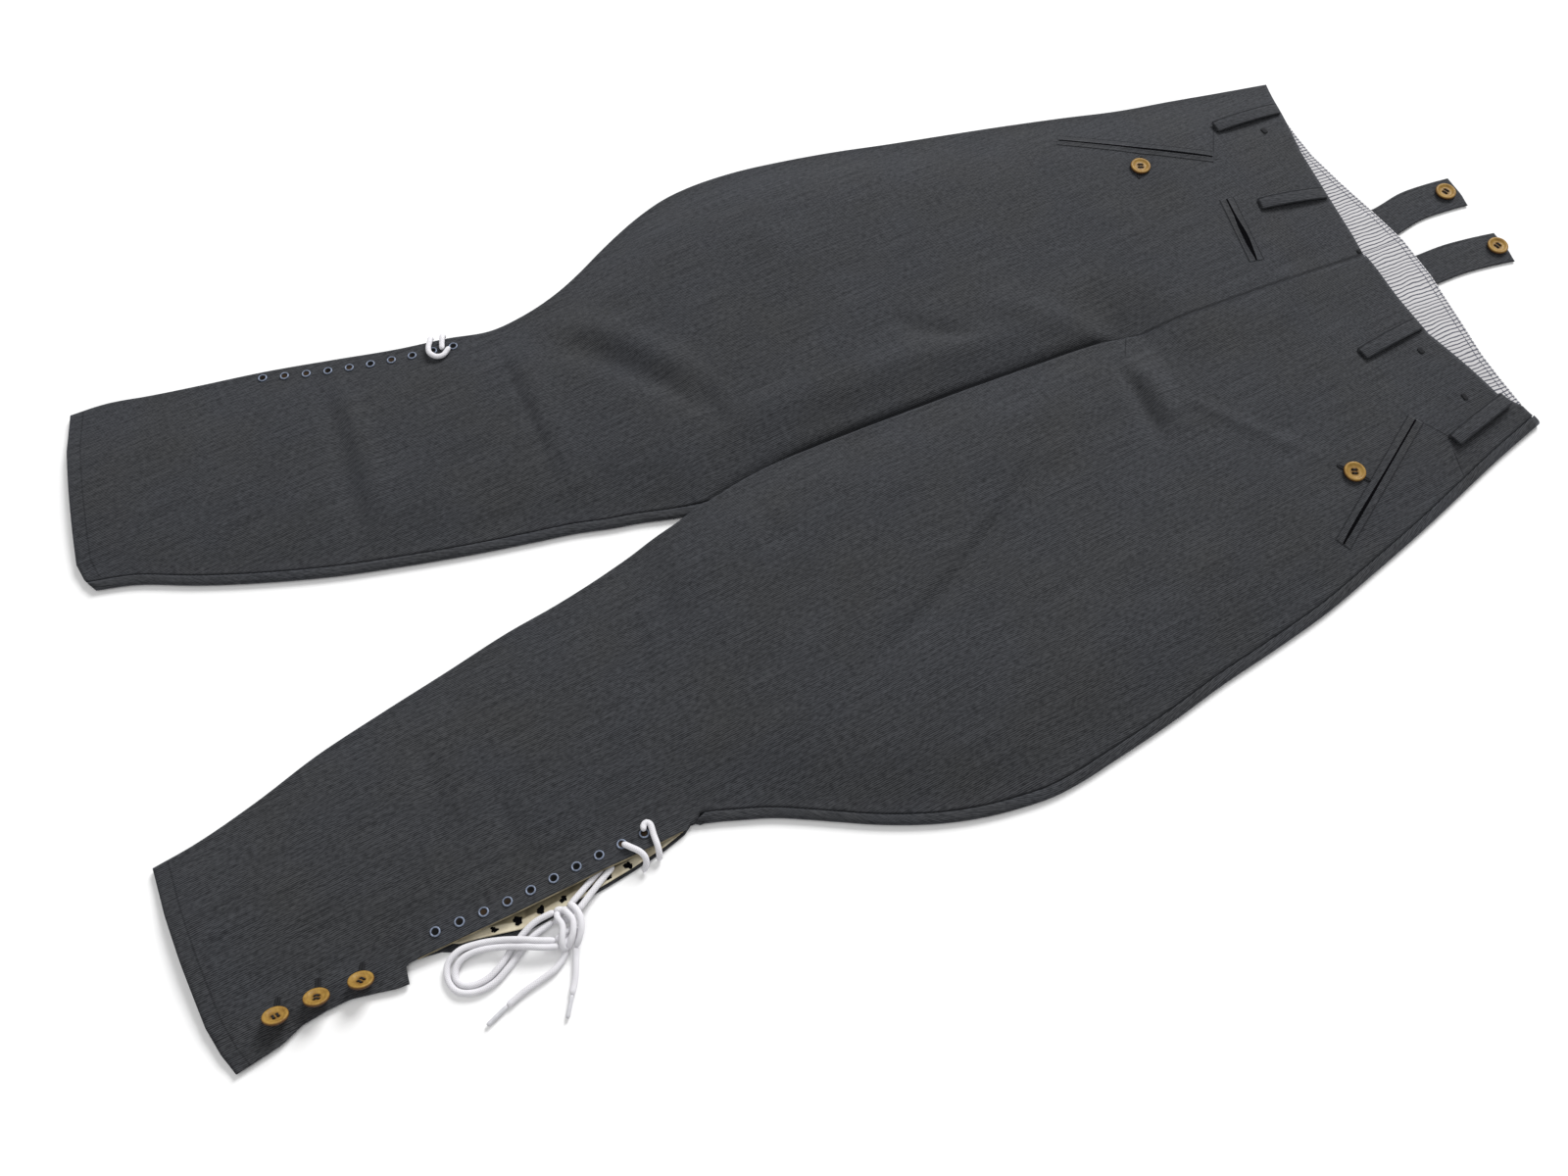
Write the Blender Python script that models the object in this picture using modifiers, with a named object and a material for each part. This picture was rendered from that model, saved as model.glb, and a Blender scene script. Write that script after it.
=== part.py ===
"""Military riding breeches laid flat on their back, front up, at real size.

The wearer's right is at -X, the waist at +Y and the front of the cloth at +Z. Each panel is an
open surface of sections across the garment, which Solidify turns into a wall of cloth. Lengths
in the tables are millimetres from the fly line and the crease of the knee; MM makes them metres.
"""
import math

import bmesh
import bpy
import numpy as np

MM = 0.001
GAP = 0.3

# Cloth and pressed edges
CLOTH = 1.5
LINING = 0.8
EDGE_RADIUS = 2.4
SEAM_ROLL = 5.0
EDGE_HEIGHT = 2 * EDGE_RADIUS
WRAP = math.pi * EDGE_RADIUS + SEAM_ROLL
WRAP_STEPS = (0.0, 5.0, 6.9, 8.8, 10.7, WRAP)

# The origin, midway between the breeches' widest and longest points
CENTRE_X = 7.4
CENTRE_Y = 299.9

# Outline of the garment: the side edges, the two edges at the legs' inside, and how far the
# front stands above its edges. Above the crotch the left inside edge is the fly.
RIGHT_OUTER, RIGHT_INNER, LEFT_INNER, LEFT_OUTER, CROWN = range(1, 6)
OUTLINE = (
    (-275, -270.5, -111.0, 111.5, 256.0, 4.0),
    (-250, -270.5, -105.0, 107.5, 252.0, 4.5),
    (-200, -264.0, -85.5, 94.5, 243.0, 5.0),
    (-150, -257.5, -68.0, 78.0, 241.0, 5.5),
    (-100, -250.0, -52.0, 65.5, 239.5, 6.0),
    (-50, -240.0, -39.5, 54.0, 237.5, 6.0),
    (0, -229.5, -28.5, 42.0, 234.5, 6.0),
    (40, -223.5, -21.0, 35.0, 231.0, 6.5),
    (75, -216.7, -14.7, 27.0, 230.2, 7.0),
    (100, -220.0, -8.3, 20.2, 238.0, 8.0),
    (120, -225.5, -4.3, 15.0, 245.3, 8.8),
    (140, -233.5, 1.0, 10.5, 255.3, 9.5),
    (160, -244.0, 5.5, 4.3, 266.0, 10.2),
    (180, -256.0, 8.0, 0.2, 276.6, 11.0),
    (200, -267.2, 9.0, -4.4, 285.8, 11.6),
    (225, -279.2, 9.4, -8.0, 295.2, 12.4),
    (250, -287.9, 9.5, -9.4, 301.8, 13.0),
    (275, -291.8, 9.5, -10.0, 305.8, 13.4),
    (300, -292.5, 9.5, -10.3, 307.8, 13.5),
    (325, -291.1, 9.4, -10.5, 305.8, 13.5),
    (350, -287.9, 9.2, -10.5, 301.8, 13.4),
    (400, -279.2, 9.0, -10.3, 293.2, 12.6),
    (450, -267.9, 8.6, -9.3, 282.6, 11.4),
    (500, -257.3, 8.0, -8.0, 273.9, 10.2),
    (545, -247.6, 8.0, -3.2, 265.0, 9.5),
    (600, -234.7, 8.0, -1.8, 249.9, 9.0),
    (650, -222.1, 8.0, -0.8, 235.3, 9.0),
    (700, -213.5, 8.0, 0.8, 219.4, 8.8),
    (740, -206.2, 8.0, 2.2, 206.7, 8.4),
    (790, -197.3, 8.0, 4.0, 192.5, 8.0),
)
LEVELS = (
    (-275, -141, 5), (-138, -134, 2), (-106, 64, 7), (76, 450, 12), (470, 500, 4),
    (508, 550, 8), (572, 790, 8),
)

# Lines of the waist and the hems, across the garment
WAIST = 790
WAIST_BEND = 640
FRONT_WAIST = (
    (-198, 785), (-175, 778.5), (-153, 773), (-112, 763), (-62, 757), (-17, 752), (5, 748.5),
    (57, 749.5), (91, 751), (125, 760.5), (159, 770), (175, 783), (192, 787),
)
BACK_WAIST = (
    (-198, 785), (-165, 778.5), (-110, 777), (-75, 780.5), (-38, 787.5), (0, 793.5), (40, 793),
    (80, 788.5), (121, 785), (166, 785.5), (192, 787),
)
HEM = -275
HEM_BEND = -135
HEMS = (
    (-271, -249), (-235, -258), (-200, -263), (-164, -267.5), (-135, -271), (-121, -268.5),
    (-111, -263), (0, -267), (111, -271), (148, -270), (183, -267.5), (229, -263),
    (248, -258.5), (263, -253),
)

# How far in from its edges a front climbs to its full height: at the sides, at the legs' inside
SIDE_REACH = 38
INSIDE_REACH = 32

# Share of a panel's width at each of its grid's columns, closer at the pressed edges
TOP_SPREAD = np.array([0.0, 0.05, 0.12, 0.22, 0.34, 0.46, 0.58, 0.70, 0.81, 0.90, 0.96, 1.0])
RIGHT_BACK_SPREAD = np.array([0.0, 0.3, 0.6, 0.8, 0.93])
LEFT_BACK_SPREAD = np.array([0.35, 0.7, 0.92])

# The crotch, where the four panels meet, and the lap of the left leg over the right one
CROTCH_DIP = (592, 522)
CROTCH_WRAP = (546, 518)
LAP_START = (507, 470)
LAP_HEIGHT = EDGE_HEIGHT + 0.7
LAP_FALL = (4.0, 20.0)
LAP_RISE = (527, 508)
LAP_END = (95, 140)
LAP_REACH = 60
LAP_GRID = np.array([0.0, 12.0, 18.0, 24.0, 31.0])
FLY_UNDERLAP = 14
FLY_TAPER = (548, 612)
FLY_RISE = (548, 566)
FLY_STEP = CLOTH + GAP + 0.2
FLY_STEP_SPAN = (9, 2)
CROTCH_EASE = 1.4

# The open slit of the left calf and the buttoned flap under it: the front's free edge, the
# back's free edge and how far the front stands open
SLIT_TOP = (76, 66)
FRONT_EDGE, BACK_EDGE, OPEN = 1, 2, 3
SLIT = (
    (-275, 263.0, 259.0, -1.3),
    (-239, 257.0, 253.0, -1.3),
    (-219, 250.5, 246.5, -1.3),
    (-199, 248.0, 244.0, -1.3),
    (-179, 247.0, 243.0, -1.3),
    (-160, 250.0, 246.0, -1.3),
    (-147, 252.5, 244.0, -1.2),
    (-138, 253.0, 239.5, -1.0),
    (-134, 240.5, 238.5, 0.3),
    (-113, 239.8, 241.0, 1.6),
    (-100, 239.5, 247.0, 2.6),
    (-80, 238.8, 249.4, 3.6),
    (-60, 238.0, 251.0, 4.6),
    (-40, 237.0, 249.0, 5.2),
    (-20, 236.0, 246.5, 5.8),
    (0, 234.5, 244.0, 6.0),
    (20, 233.5, 241.0, 4.4),
    (45, 231.5, 236.0, 1.8),
    (66, 229.3, 229.6, 0.0),
)

SLIT_REACH = 24.0
FLAP_REACH = 7.0

# Largest soft folds of the fronts: a line, its width and its height
FOLDS = (
    (-228, -52, -60, -62, 13, 1.6),
    (-232, -72, -55, -82, 10, -1.6),
    (-195, 165, -150, 205, 20, 1.6),
    (-180, 112, -75, 196, 15, -2.0),
    (-205, 88, -45, 92, 14, 1.2),
    (-40, 480, -58, 230, 16, 1.8),
    (18, 508, 88, 504, 12, -2.6),
    (25, 530, 85, 527, 12, 1.4),
    (62, 425, 170, 240, 16, -1.4),
    (150, -50, 222, -44, 12, -1.6),
    (95, -90, 180, -90, 14, -1.4),
    (30, 122, 92, 104, 14, -1.4),
)

# Waist lining, slit facing and back tabs
LINING_SPAN = (-176, 172)
LINING_ROWS = (0, 12, 24, 36, 60, 92)
LINING_INSET = 0.6
FACING_SPAN = (-112, 58)
FACING_WIDTH = 21
FACING_INSET = 2.0
TAB_THICKNESS = 2.0
TABS = {
    "left": ((-24.0, 758.0), (-25.0, 793.0), (-30.5, 825.0), (-30.0, 848.0), (-28.0, 870.0)),
    "right": ((30.0, 758.0), (31.0, 793.0), (31.0, 825.0), (33.5, 848.0), (37.0, 870.0)),
}
TAB_WIDTH = 31.5
TAB_END = 6
TAB_END_DROP = (0.0, -0.5, -2.0)
TAB_LIFT_MIDDLE = 5
TAB_LIFT_HALF = 138
TAB_LIFT_FALL = 56
TAB_LIFT_RISE = (728, 752)
TAB_BUTTONS = {"left": (-30.6, 857.5), "right": (35.1, 862.5)}

# Belt loops: top end and bottom end
LOOP_WIDTH = 12.5
LOOP_RISE = 6.0
LOOP_ARCH = 0.5
LOOP_SECTIONS = 11
LOOPS = {
    "right_side": ((-163.0, 773.5), (-165.0, 710.0)),
    "right_front": ((-63.8, 756.0), (-75.1, 698.0)),
    "left_front": ((79.8, 749.0), (87.6, 689.3)),
    "left_side": ((165.1, 773.5), (181.6, 711.5)),
}

# Pockets: the mouth's two ends, each lip's width, and how far a lip stands above the panel
LIP = 5.2
LIP_THICKNESS = 0.9
MOUTH = 0.8
LIP_CLEAR = GAP + 0.25
POCKETS = {
    "right_pocket": ((-208.7, 582.0), (-135.7, 691.5)),
    "left_pocket": ((223.6, 585.0), (154.3, 695.4)),
    "watch_pocket": ((-91.4, 676.7), (-25.3, 664.8)),
}

# Buttons
SLOPE_STEP = 4
TRIM_CLEAR = GAP + 0.3
BUTTON = 17.0
BUTTON_THICKNESS = 3.0
BUTTON_BEVEL = 1.2
BUTTON_STEPS = 14
POCKET_BUTTONS = {"right": (-151.5, 629.5), "left": (176.0, 624.5)}
HEM_BUTTONS = ((241.5, -164.6), (240.5, -193.4), (241.5, -220.1))
HEM_TILT = math.radians(38)
HEM_CLEAR = 0.4

# Eyelets, ten in a row on each calf
EYELET = 7.2
EYELET_HOLE = 4.6
EYELET_HEIGHT = 0.8
EYELET_COUNT = 10
EYELET_STEPS = 10
EYELET_ROWS = {
    "right": ((-112, -245.5), (-56.6, -229.2), (-7.9, -219.2), (41.7, -212.3)),
    "left": ((-112.1, 228.6), (-63.5, 228.8), (-13.9, 225.2), (35.7, 221.6)),
}
EYELET_SPAN = {"right": (-104.3, 41.7), "left": (-112.1, 35.7)}

# Lace: the routes of its stretches, each read from a smooth curve through its points
LACE = 4.0
AGLET = 3.0
HELD_STEP = 5.0
LOOSE_STEP = 8.0
KNOT_CENTRE = (259.5, -32.2, 5.6)
KNOT_SIZE = (13.6, 9.2, 5.2)
KNOT_TURN = math.radians(-15)
HELD_LACES = {
    "right_lace_upper": (
        (-226.9, 37.8, 0.7), (-226.9, 37.7, 3.2), (-225.0, 37.0, 6.3), (-221.3, 35.8, 7.8),
        (-216.0, 34.0, 8.2), (-210.8, 32.6, 8.6),
    ),
    "right_lace_lower": (
        (-228.3, 28.0, 0.6), (-228.3, 27.9, 3.2), (-226.2, 27.4, 6.5), (-221.9, 26.0, 8.6),
        (-216.0, 23.2, 9.7), (-210.5, 22.6, 9.8), (-205.4, 26.2, 9.6), (-204.6, 31.4, 9.3),
        (-207.6, 35.6, 9.2), (-210.2, 38.4, 9.4),
    ),
    "left_lace_upper": (
        (221.0, 36.0, 10.3), (217.4, 36.9, 9.9), (215.9, 39.6, 9.6), (218.6, 41.6, 9.5),
        (225.5, 41.0, 9.4), (232.0, 40.8, 9.7), (236.8, 40.2, 8.0), (239.6, 39.4, 5.0),
        (240.0, 38.9, 2.4), (240.0, 38.8, 0.6),
    ),
    "left_lace_lower": (
        (223.4, 19.6, 11.1), (228.0, 23.9, 11.0), (232.6, 28.0, 10.7), (237.0, 30.2, 9.2),
        (241.0, 29.6, 6.6), (243.3, 27.0, 3.6), (243.4, 26.2, 1.2),
    ),
}
LOOSE_LACES = {
    "lace_tail_front": ((231.6, 2.2, 5.0), (235.4, -5.2, 5.0), (239.8, -13.6, 5.1), (246.7, -26.3, 5.3)),
    "lace_tail_back": ((233.5, 9.0, 5.0), (238.4, -0.2, 5.0), (243.9, -9.3, 5.1), (252.1, -22.7, 5.3)),
    "lace_loop_outer": (
        (265.2, -42.7, 6.6), (260.9, -53, 7.8), (256, -63, 8.4), (250.3, -76, 6.2),
        (246.6, -90, 5.4), (246.0, -102, 5.1), (250.8, -111.3, 3.6), (260.5, -114.5, 2.4),
        (270, -110.8, 2.3), (274.8, -100, 2.3), (273.9, -88, 2.3), (268.6, -77, 2.3),
        (262.4, -67, 2.4), (256.4, -57, 2.5), (253.4, -47, 2.8), (252.2, -40.1, 3.4),
    ),
    "lace_loop_inner": (
        (269.9, -41.5, 6.8), (266.5, -51.5, 7.6), (261.2, -62.5, 8.0), (255.3, -75, 5.9),
        (251.3, -88, 5.0), (250.8, -98.5, 4.6), (254.0, -106.2, 3.2), (261.2, -109.7, 2.3),
        (267.2, -106.5, 2.3), (270.0, -99, 2.3), (269.2, -89.5, 2.3), (264.4, -79.8, 2.3),
        (257.6, -70, 2.9), (251.6, -60, 4.0), (248.0, -50, 5.4), (247.1, -37.1, 6.6),
    ),
    "lace_end_back": ((273.5, -32.0, 4.1), (280, -34.5, 2.6), (291, -39.0, 2.3), (301, -45.0, 2.3)),
    "lace_end_front": (
        (272.2, -37.6, 3.5), (277.7, -43.2, 2.5), (282, -51, 2.3), (284.5, -62, 2.3),
        (287, -73, 2.3), (291, -85, 2.3),
    ),
}
AGLETS = {
    "aglet_back": ((301.6, -45.4, 2.0), (313.5, -52.6, 1.8)),
    "aglet_front": ((291.3, -85.9, 2.0), (297.3, -100.6, 1.8)),
}

FABRIC = ((0.052, 0.054, 0.060), 0.9, 0.0)
STRIPED = ((0.70, 0.70, 0.72), 0.85, 0.0)
CREAM = ((0.74, 0.68, 0.52), 0.85, 0.0)
HORN = ((0.42, 0.24, 0.06), 0.35, 0.0)
PAINTED = ((0.16, 0.18, 0.22), 0.4, 0.6)
COTTON = ((0.80, 0.80, 0.82), 0.85, 0.0)
SLEEVE = ((0.62, 0.62, 0.66), 0.5, 0.0)


def start_collection():
    """Remove what the scene holds and give the breeches a collection of their own."""
    for old in list(bpy.data.objects):
        bpy.data.objects.remove(old, do_unlink=True)
    group = bpy.data.collections.new("breeches")
    bpy.context.scene.collection.children.link(group)
    return group


def make_material(name, finish):
    """A plain Principled finish from a colour, a roughness and a metallic value."""
    colour, roughness, metallic = finish
    material = bpy.data.materials.new(name)
    material.use_nodes = True
    shader = material.node_tree.nodes["Principled BSDF"]
    shader.inputs["Base Color"].default_value = (*colour, 1.0)
    shader.inputs["Roughness"].default_value = roughness
    shader.inputs["Metallic"].default_value = metallic
    return material


def place(points):
    """Table places in millimetres to metres from the part's origin."""
    moved = np.array(points, dtype=float) - (CENTRE_X, CENTRE_Y, 0.0)
    return moved * MM


def smooth(start, end, at):
    """An S-curve that is 0 at start and 1 at end."""
    t = np.clip((np.asarray(at, dtype=float) - start) / (end - start), 0.0, 1.0)
    return t * t * (3.0 - 2.0 * t)


def column(table, number, at):
    """A smooth line through one column of a table, along its first column."""
    rows = np.array(table, dtype=float)
    place_of, value = rows[:, 0], rows[:, number]
    slope = np.gradient(value, place_of)
    at = np.asarray(at, dtype=float)
    i = np.clip(np.searchsorted(place_of, at) - 1, 0, len(place_of) - 2)
    step = place_of[i + 1] - place_of[i]
    t = np.clip((at - place_of[i]) / step, 0.0, 1.0)
    return ((2 * t**3 - 3 * t**2 + 1) * value[i] + (t**3 - 2 * t**2 + t) * step * slope[i]
            + (3 * t**2 - 2 * t**3) * value[i + 1] + (t**3 - t**2) * step * slope[i + 1])


def straight(table, number, at):
    """Straight runs through one column of a table."""
    rows = np.array(table, dtype=float)
    return np.interp(at, rows[:, 0], rows[:, number])


def rise(distance, flat, reach):
    """How the front climbs from an edge: 0 over the flat part, then softly up to 1."""
    t = np.maximum(distance - flat, 0.0) / reach
    return 1.0 - np.exp(-t**1.6)


def left_inner(y):
    return column(OUTLINE, LEFT_INNER, y)


def right_inner(y):
    """The right leg's inside edge, which butts on the left leg at the crotch."""
    butt = left_inner(y) - GAP
    lap = smooth(*LAP_START, y)
    return butt * (1 - lap) + column(OUTLINE, RIGHT_INNER, y) * lap


def lap_height(y):
    """How far the left leg's inside edge is carried above the floor by the right leg."""
    return LAP_HEIGHT * smooth(*LAP_RISE, y) * smooth(*LAP_END, y)


def folds(x, y):
    """Height that the soft folds add: each a rounded ridge or trough along its line."""
    total = np.zeros(np.shape(x))
    for x0, y0, x1, y1, width, height in FOLDS:
        length = math.hypot(x1 - x0, y1 - y0)
        ux, uy = (x1 - x0) / length, (y1 - y0) / length
        along = ((x - x0) * ux + (y - y0) * uy) / length
        across = (x - x0) * uy - (y - y0) * ux
        ends = smooth(-0.15, 0.25, along) * smooth(1.15, 0.75, along)
        total = total + height * np.exp(-(across / width) ** 2) * ends
    return total


def front_top(x, y, leg):
    """Height of the front's outer face over the floor."""
    x, y = np.broadcast_arrays(np.asarray(x, float), np.asarray(y, float))
    left_edge, right_edge = left_inner(y), right_inner(y)
    parted = smooth(*CROTCH_DIP, y)
    side = (rise(x - column(OUTLINE, RIGHT_OUTER, y), EDGE_RADIUS, SIDE_REACH)
            * rise(column(OUTLINE, LEFT_OUTER, y) - x, EDGE_RADIUS + SEAM_ROLL, SIDE_REACH))
    if leg == "right":
        flat = np.maximum(EDGE_RADIUS + SEAM_ROLL, right_edge - left_edge + 3)
        inside = rise(right_edge - x, flat, INSIDE_REACH)
        lift = 0.0
    else:
        inside = rise(x - left_edge, EDGE_RADIUS, INSIDE_REACH)
        lift = lap_height(y) * np.exp(-((x - left_edge) / LAP_REACH) ** 2)
    shape = side * (1 - parted + parted * inside)
    return EDGE_HEIGHT + lift + shape * (column(OUTLINE, CROWN, y) + folds(x, y))


def left_front_top(x, y):
    """The left front's outer face: over the fly's underlap, open at the slit, down on the flap."""
    x, y = np.broadcast_arrays(np.asarray(x, float), np.asarray(y, float))
    far, near = FLY_STEP_SPAN
    end = underlap_end(y)
    underlap = smooth(end + far, end + near, x) * smooth(*FLY_RISE, y)
    opening = column(SLIT, OPEN, y) * (y < SLIT_TOP[1])
    reach = np.where(opening > 0, SLIT_REACH, FLAP_REACH)
    edge = opening * np.exp(-(np.maximum(column(SLIT, BACK_EDGE, y) - x, 0) / reach) ** 2)
    return front_top(x, y, "left") + FLY_STEP * underlap + edge


def underlap_end(y):
    """Where the right front ends under the fly."""
    return right_inner(y) - EDGE_RADIUS - GAP + FLY_UNDERLAP * smooth(*FLY_TAPER, y)


def back_bottom(x, y):
    """Height of the left back's underside, carried over the right leg's inside edge."""
    return lap_height(y) * (1 - smooth(*LAP_FALL, x - right_inner(y)))


def tab_lift(x, y):
    """The back waist is held up by the two tabs sewn on under it."""
    across = np.clip((TAB_LIFT_HALF - np.abs(x - TAB_LIFT_MIDDLE)) / TAB_LIFT_FALL, 0, 1)
    return (TAB_THICKNESS + 2 * GAP) * across * smooth(*TAB_LIFT_RISE, y)


def wrap(walked):
    """Walk a pressed edge from its lip's end: distance inward from the edge and height gained."""
    angle = np.clip(walked - SEAM_ROLL, 0, math.pi * EDGE_RADIUS) / EDGE_RADIUS
    inward = EDGE_RADIUS * (1 - np.sin(angle)) + np.maximum(SEAM_ROLL - walked, 0)
    inward = inward + np.maximum(walked - WRAP, 0)
    return inward, EDGE_RADIUS * (1 - np.cos(angle))


def levels():
    """Places along Y of the sections, closer where the panels change fast."""
    return np.concatenate([np.linspace(*zone) for zone in LEVELS])


def shape_lines(x, y, waist):
    """Bend the straight sections near the waist and the hems to their real lines."""
    to_waist = smooth(WAIST_BEND, WAIST, y) * (np.interp(x, *np.transpose(waist)) - WAIST)
    to_hem = smooth(HEM_BEND, HEM, y) * (np.interp(x, *np.transpose(HEMS)) - HEM)
    return y + to_waist + to_hem


def add_panel(group, name, grid, thickness, material, inward=-1.0):
    """A wall of cloth from a grid of points: rows by columns by three."""
    rows, columns = grid.shape[:2]
    index = np.arange(rows * columns).reshape(rows, columns)
    faces = np.stack([index[:-1, :-1], index[:-1, 1:], index[1:, 1:], index[1:, :-1]], axis=-1)
    mesh = bpy.data.meshes.new(name)
    mesh.from_pydata(place(grid.reshape(-1, 3)).tolist(), [], faces.reshape(-1, 4).tolist())
    mesh.shade_smooth()
    mesh.materials.append(material)
    piece = bpy.data.objects.new(name, mesh)
    group.objects.link(piece)
    wall = piece.modifiers.new("cloth wall", "SOLIDIFY")
    wall.thickness = thickness * MM
    wall.offset = inward
    return piece


def right_front(group, fabric):
    """Wraps under the side seam, runs over the front and ends at the fly or the inseam."""
    rows = []
    for y in levels():
        wrapped = float(smooth(*CROTCH_WRAP, y))
        edge = float(column(OUTLINE, RIGHT_OUTER, y))
        walked = np.array(WRAP_STEPS)
        inward, height = wrap(walked)
        start = edge + EDGE_RADIUS
        lip = float(right_inner(y)) - EDGE_RADIUS - max(0.0, wrapped * WRAP - WRAP + SEAM_ROLL)
        end = float(underlap_end(y))
        if wrapped > 0:
            end = lip - GAP - CROTCH_EASE * 4 * wrapped * (1 - wrapped)
        top_x = start + (end - start) * TOP_SPREAD
        x = np.concatenate([edge + inward, top_x[1:]])
        z = np.concatenate([height, front_top(top_x[1:], y, "right")])
        rows.append(np.stack([x, shape_lines(x, y, FRONT_WAIST), z], axis=-1))
    return add_panel(group, "right_front", np.array(rows), CLOTH, fabric)


def left_front(group, fabric):
    """Fly edge above, pressed inseam edge below the crotch, slit and flap at the calf."""
    rows = []
    for y in levels():
        wrapped = float(smooth(*CROTCH_WRAP, y))
        edge = float(left_inner(y))
        walked = (1 - wrapped) * WRAP + np.array(WRAP_STEPS)
        inward, height = wrap(walked)
        on_top = walked > WRAP - 0.001
        x = edge + inward
        edge_top = float(left_front_top(edge + EDGE_RADIUS, y))
        z = np.where(on_top, left_front_top(x, y), edge_top - EDGE_HEIGHT + height)
        end = left_front_end(y)
        top_x = x[-1] + (end - x[-1]) * TOP_SPREAD[1:]
        x = np.concatenate([x, top_x])
        z = np.concatenate([z, left_front_top(top_x, y)])
        rows.append(np.stack([x, shape_lines(x, y, FRONT_WAIST), z], axis=-1))
    return add_panel(group, "left_front", np.array(rows), CLOTH, fabric)


def left_front_end(y):
    """The left front's outer end: at the rolled side seam, or free at the slit and flap."""
    if y <= SLIT_TOP[1]:
        return float(straight(SLIT, FRONT_EDGE, y))
    wrapped = float(smooth(SLIT_TOP[1], SLIT_TOP[0], y))
    edge = float(column(OUTLINE, LEFT_OUTER, y))
    return edge - EDGE_RADIUS - max(0.0, wrapped * WRAP - WRAP + SEAM_ROLL) - GAP


def right_back(group, fabric):
    """Lies flat, meets the other back at the seat seam and rolls over the inseam's edge."""
    rows = []
    for y in levels():
        wrapped = float(smooth(*CROTCH_WRAP, y))
        edge = float(right_inner(y))
        start = float(column(OUTLINE, RIGHT_OUTER, y)) + EDGE_RADIUS + SEAM_ROLL + GAP
        walked = (1 - wrapped) * WRAP + np.array(WRAP_STEPS)
        inward, height = wrap(walked)
        end_x, end_z = edge - inward, EDGE_HEIGHT - height
        flat_x = start + (end_x[-1] - start) * RIGHT_BACK_SPREAD
        x = np.concatenate([flat_x, end_x[::-1]])
        z = np.concatenate([np.zeros(len(flat_x)), end_z[::-1]])
        rows.append(np.stack([x, shape_lines(x, y, BACK_WAIST), z + tab_lift(x, y)], axis=-1))
    return add_panel(group, "right_back", np.array(rows), CLOTH, fabric, inward=1.0)


def left_back(group, fabric):
    """Starts over the right leg's edge, lies flat and rolls over the side seam's edge."""
    rows = []
    for y in levels():
        crotch = float(smooth(*CROTCH_WRAP, y))
        inner = float(left_inner(y))
        clear = EDGE_RADIUS + SEAM_ROLL + GAP
        start = inner - EDGE_RADIUS + (clear + EDGE_RADIUS) * float(smooth(0, 0.25, crotch))
        start += GAP
        side = float(smooth(SLIT_TOP[1], SLIT_TOP[0], y))
        edge = float(column(OUTLINE, LEFT_OUTER, y))
        if side == 0:
            edge = float(straight(SLIT, BACK_EDGE, y)) + EDGE_RADIUS
        walked = (1 - side) * WRAP + np.array(WRAP_STEPS)
        inward, height = wrap(walked)
        end_x, end_z = edge - inward, EDGE_HEIGHT - height
        near = start + LAP_GRID
        flat_x = near[-1] + (end_x[-1] - near[-1]) * LEFT_BACK_SPREAD
        low_x = np.concatenate([near, flat_x])
        x = np.concatenate([low_x, end_x[::-1]])
        z = np.concatenate([back_bottom(low_x, y), end_z[::-1]])
        rows.append(np.stack([x, shape_lines(x, y, BACK_WAIST), z + tab_lift(x, y)], axis=-1))
    return add_panel(group, "left_back", np.array(rows), CLOTH, fabric, inward=1.0)


def waist_lining(group, striped):
    """The strip inside the back waist, on the back panels' inner face."""
    across = np.linspace(*LINING_SPAN, 30)
    rows = []
    for depth in LINING_ROWS[::-1]:
        y = np.interp(across, *np.transpose(BACK_WAIST)) - LINING_INSET - depth
        z = CLOTH + 3 * GAP + LINING + tab_lift(across, y)
        rows.append(np.stack([across, y, z], axis=-1))
    return add_panel(group, "waist_lining", np.array(rows), LINING, striped)


def slit_facing(group, cream):
    """Cream strip on the left back's inner face along the calf slit."""
    rows = []
    for y in np.linspace(*FACING_SPAN, 12):
        outer = float(straight(SLIT, BACK_EDGE, y)) - FACING_INSET
        x = outer - np.array([FACING_WIDTH, FACING_WIDTH / 2, 0.0])
        z = np.full(3, CLOTH + GAP + LINING)
        rows.append(np.stack([x, np.full(3, y), z], axis=-1))
    return add_panel(group, "slit_facing", np.array(rows), LINING, cream)


def belt_loop(group, side, ends, fabric):
    """A narrow strip sewn down at both ends, arched clear of the waist for a belt."""
    (x0, y0), (x1, y1) = ends
    length = math.hypot(x1 - x0, y1 - y0)
    ux, uy = (x1 - x0) / length, (y1 - y0) / length
    top = front_height(side)
    rows = []
    for along in np.linspace(1, 0, LOOP_SECTIONS):
        arch = LOOP_RISE * max(0.0, math.sin(math.pi * along)) ** LOOP_ARCH
        offset = LOOP_WIDTH * np.array([-0.5, 0.0, 0.5])
        x = x0 + (x1 - x0) * along - uy * offset
        y = y0 + (y1 - y0) * along + ux * offset
        base = float(np.max(top(x, y)))
        z = np.full(3, base + GAP + CLOTH + arch)
        rows.append(np.stack([x, y, z], axis=-1))
    return add_panel(group, side + "_belt_loop", np.array(rows), CLOTH, fabric)


def front_height(side):
    """The outer face of the front that carries a piece, right or left."""
    if side.startswith("left"):
        return left_front_top
    return lambda x, y: front_top(x, y, "right")


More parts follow.
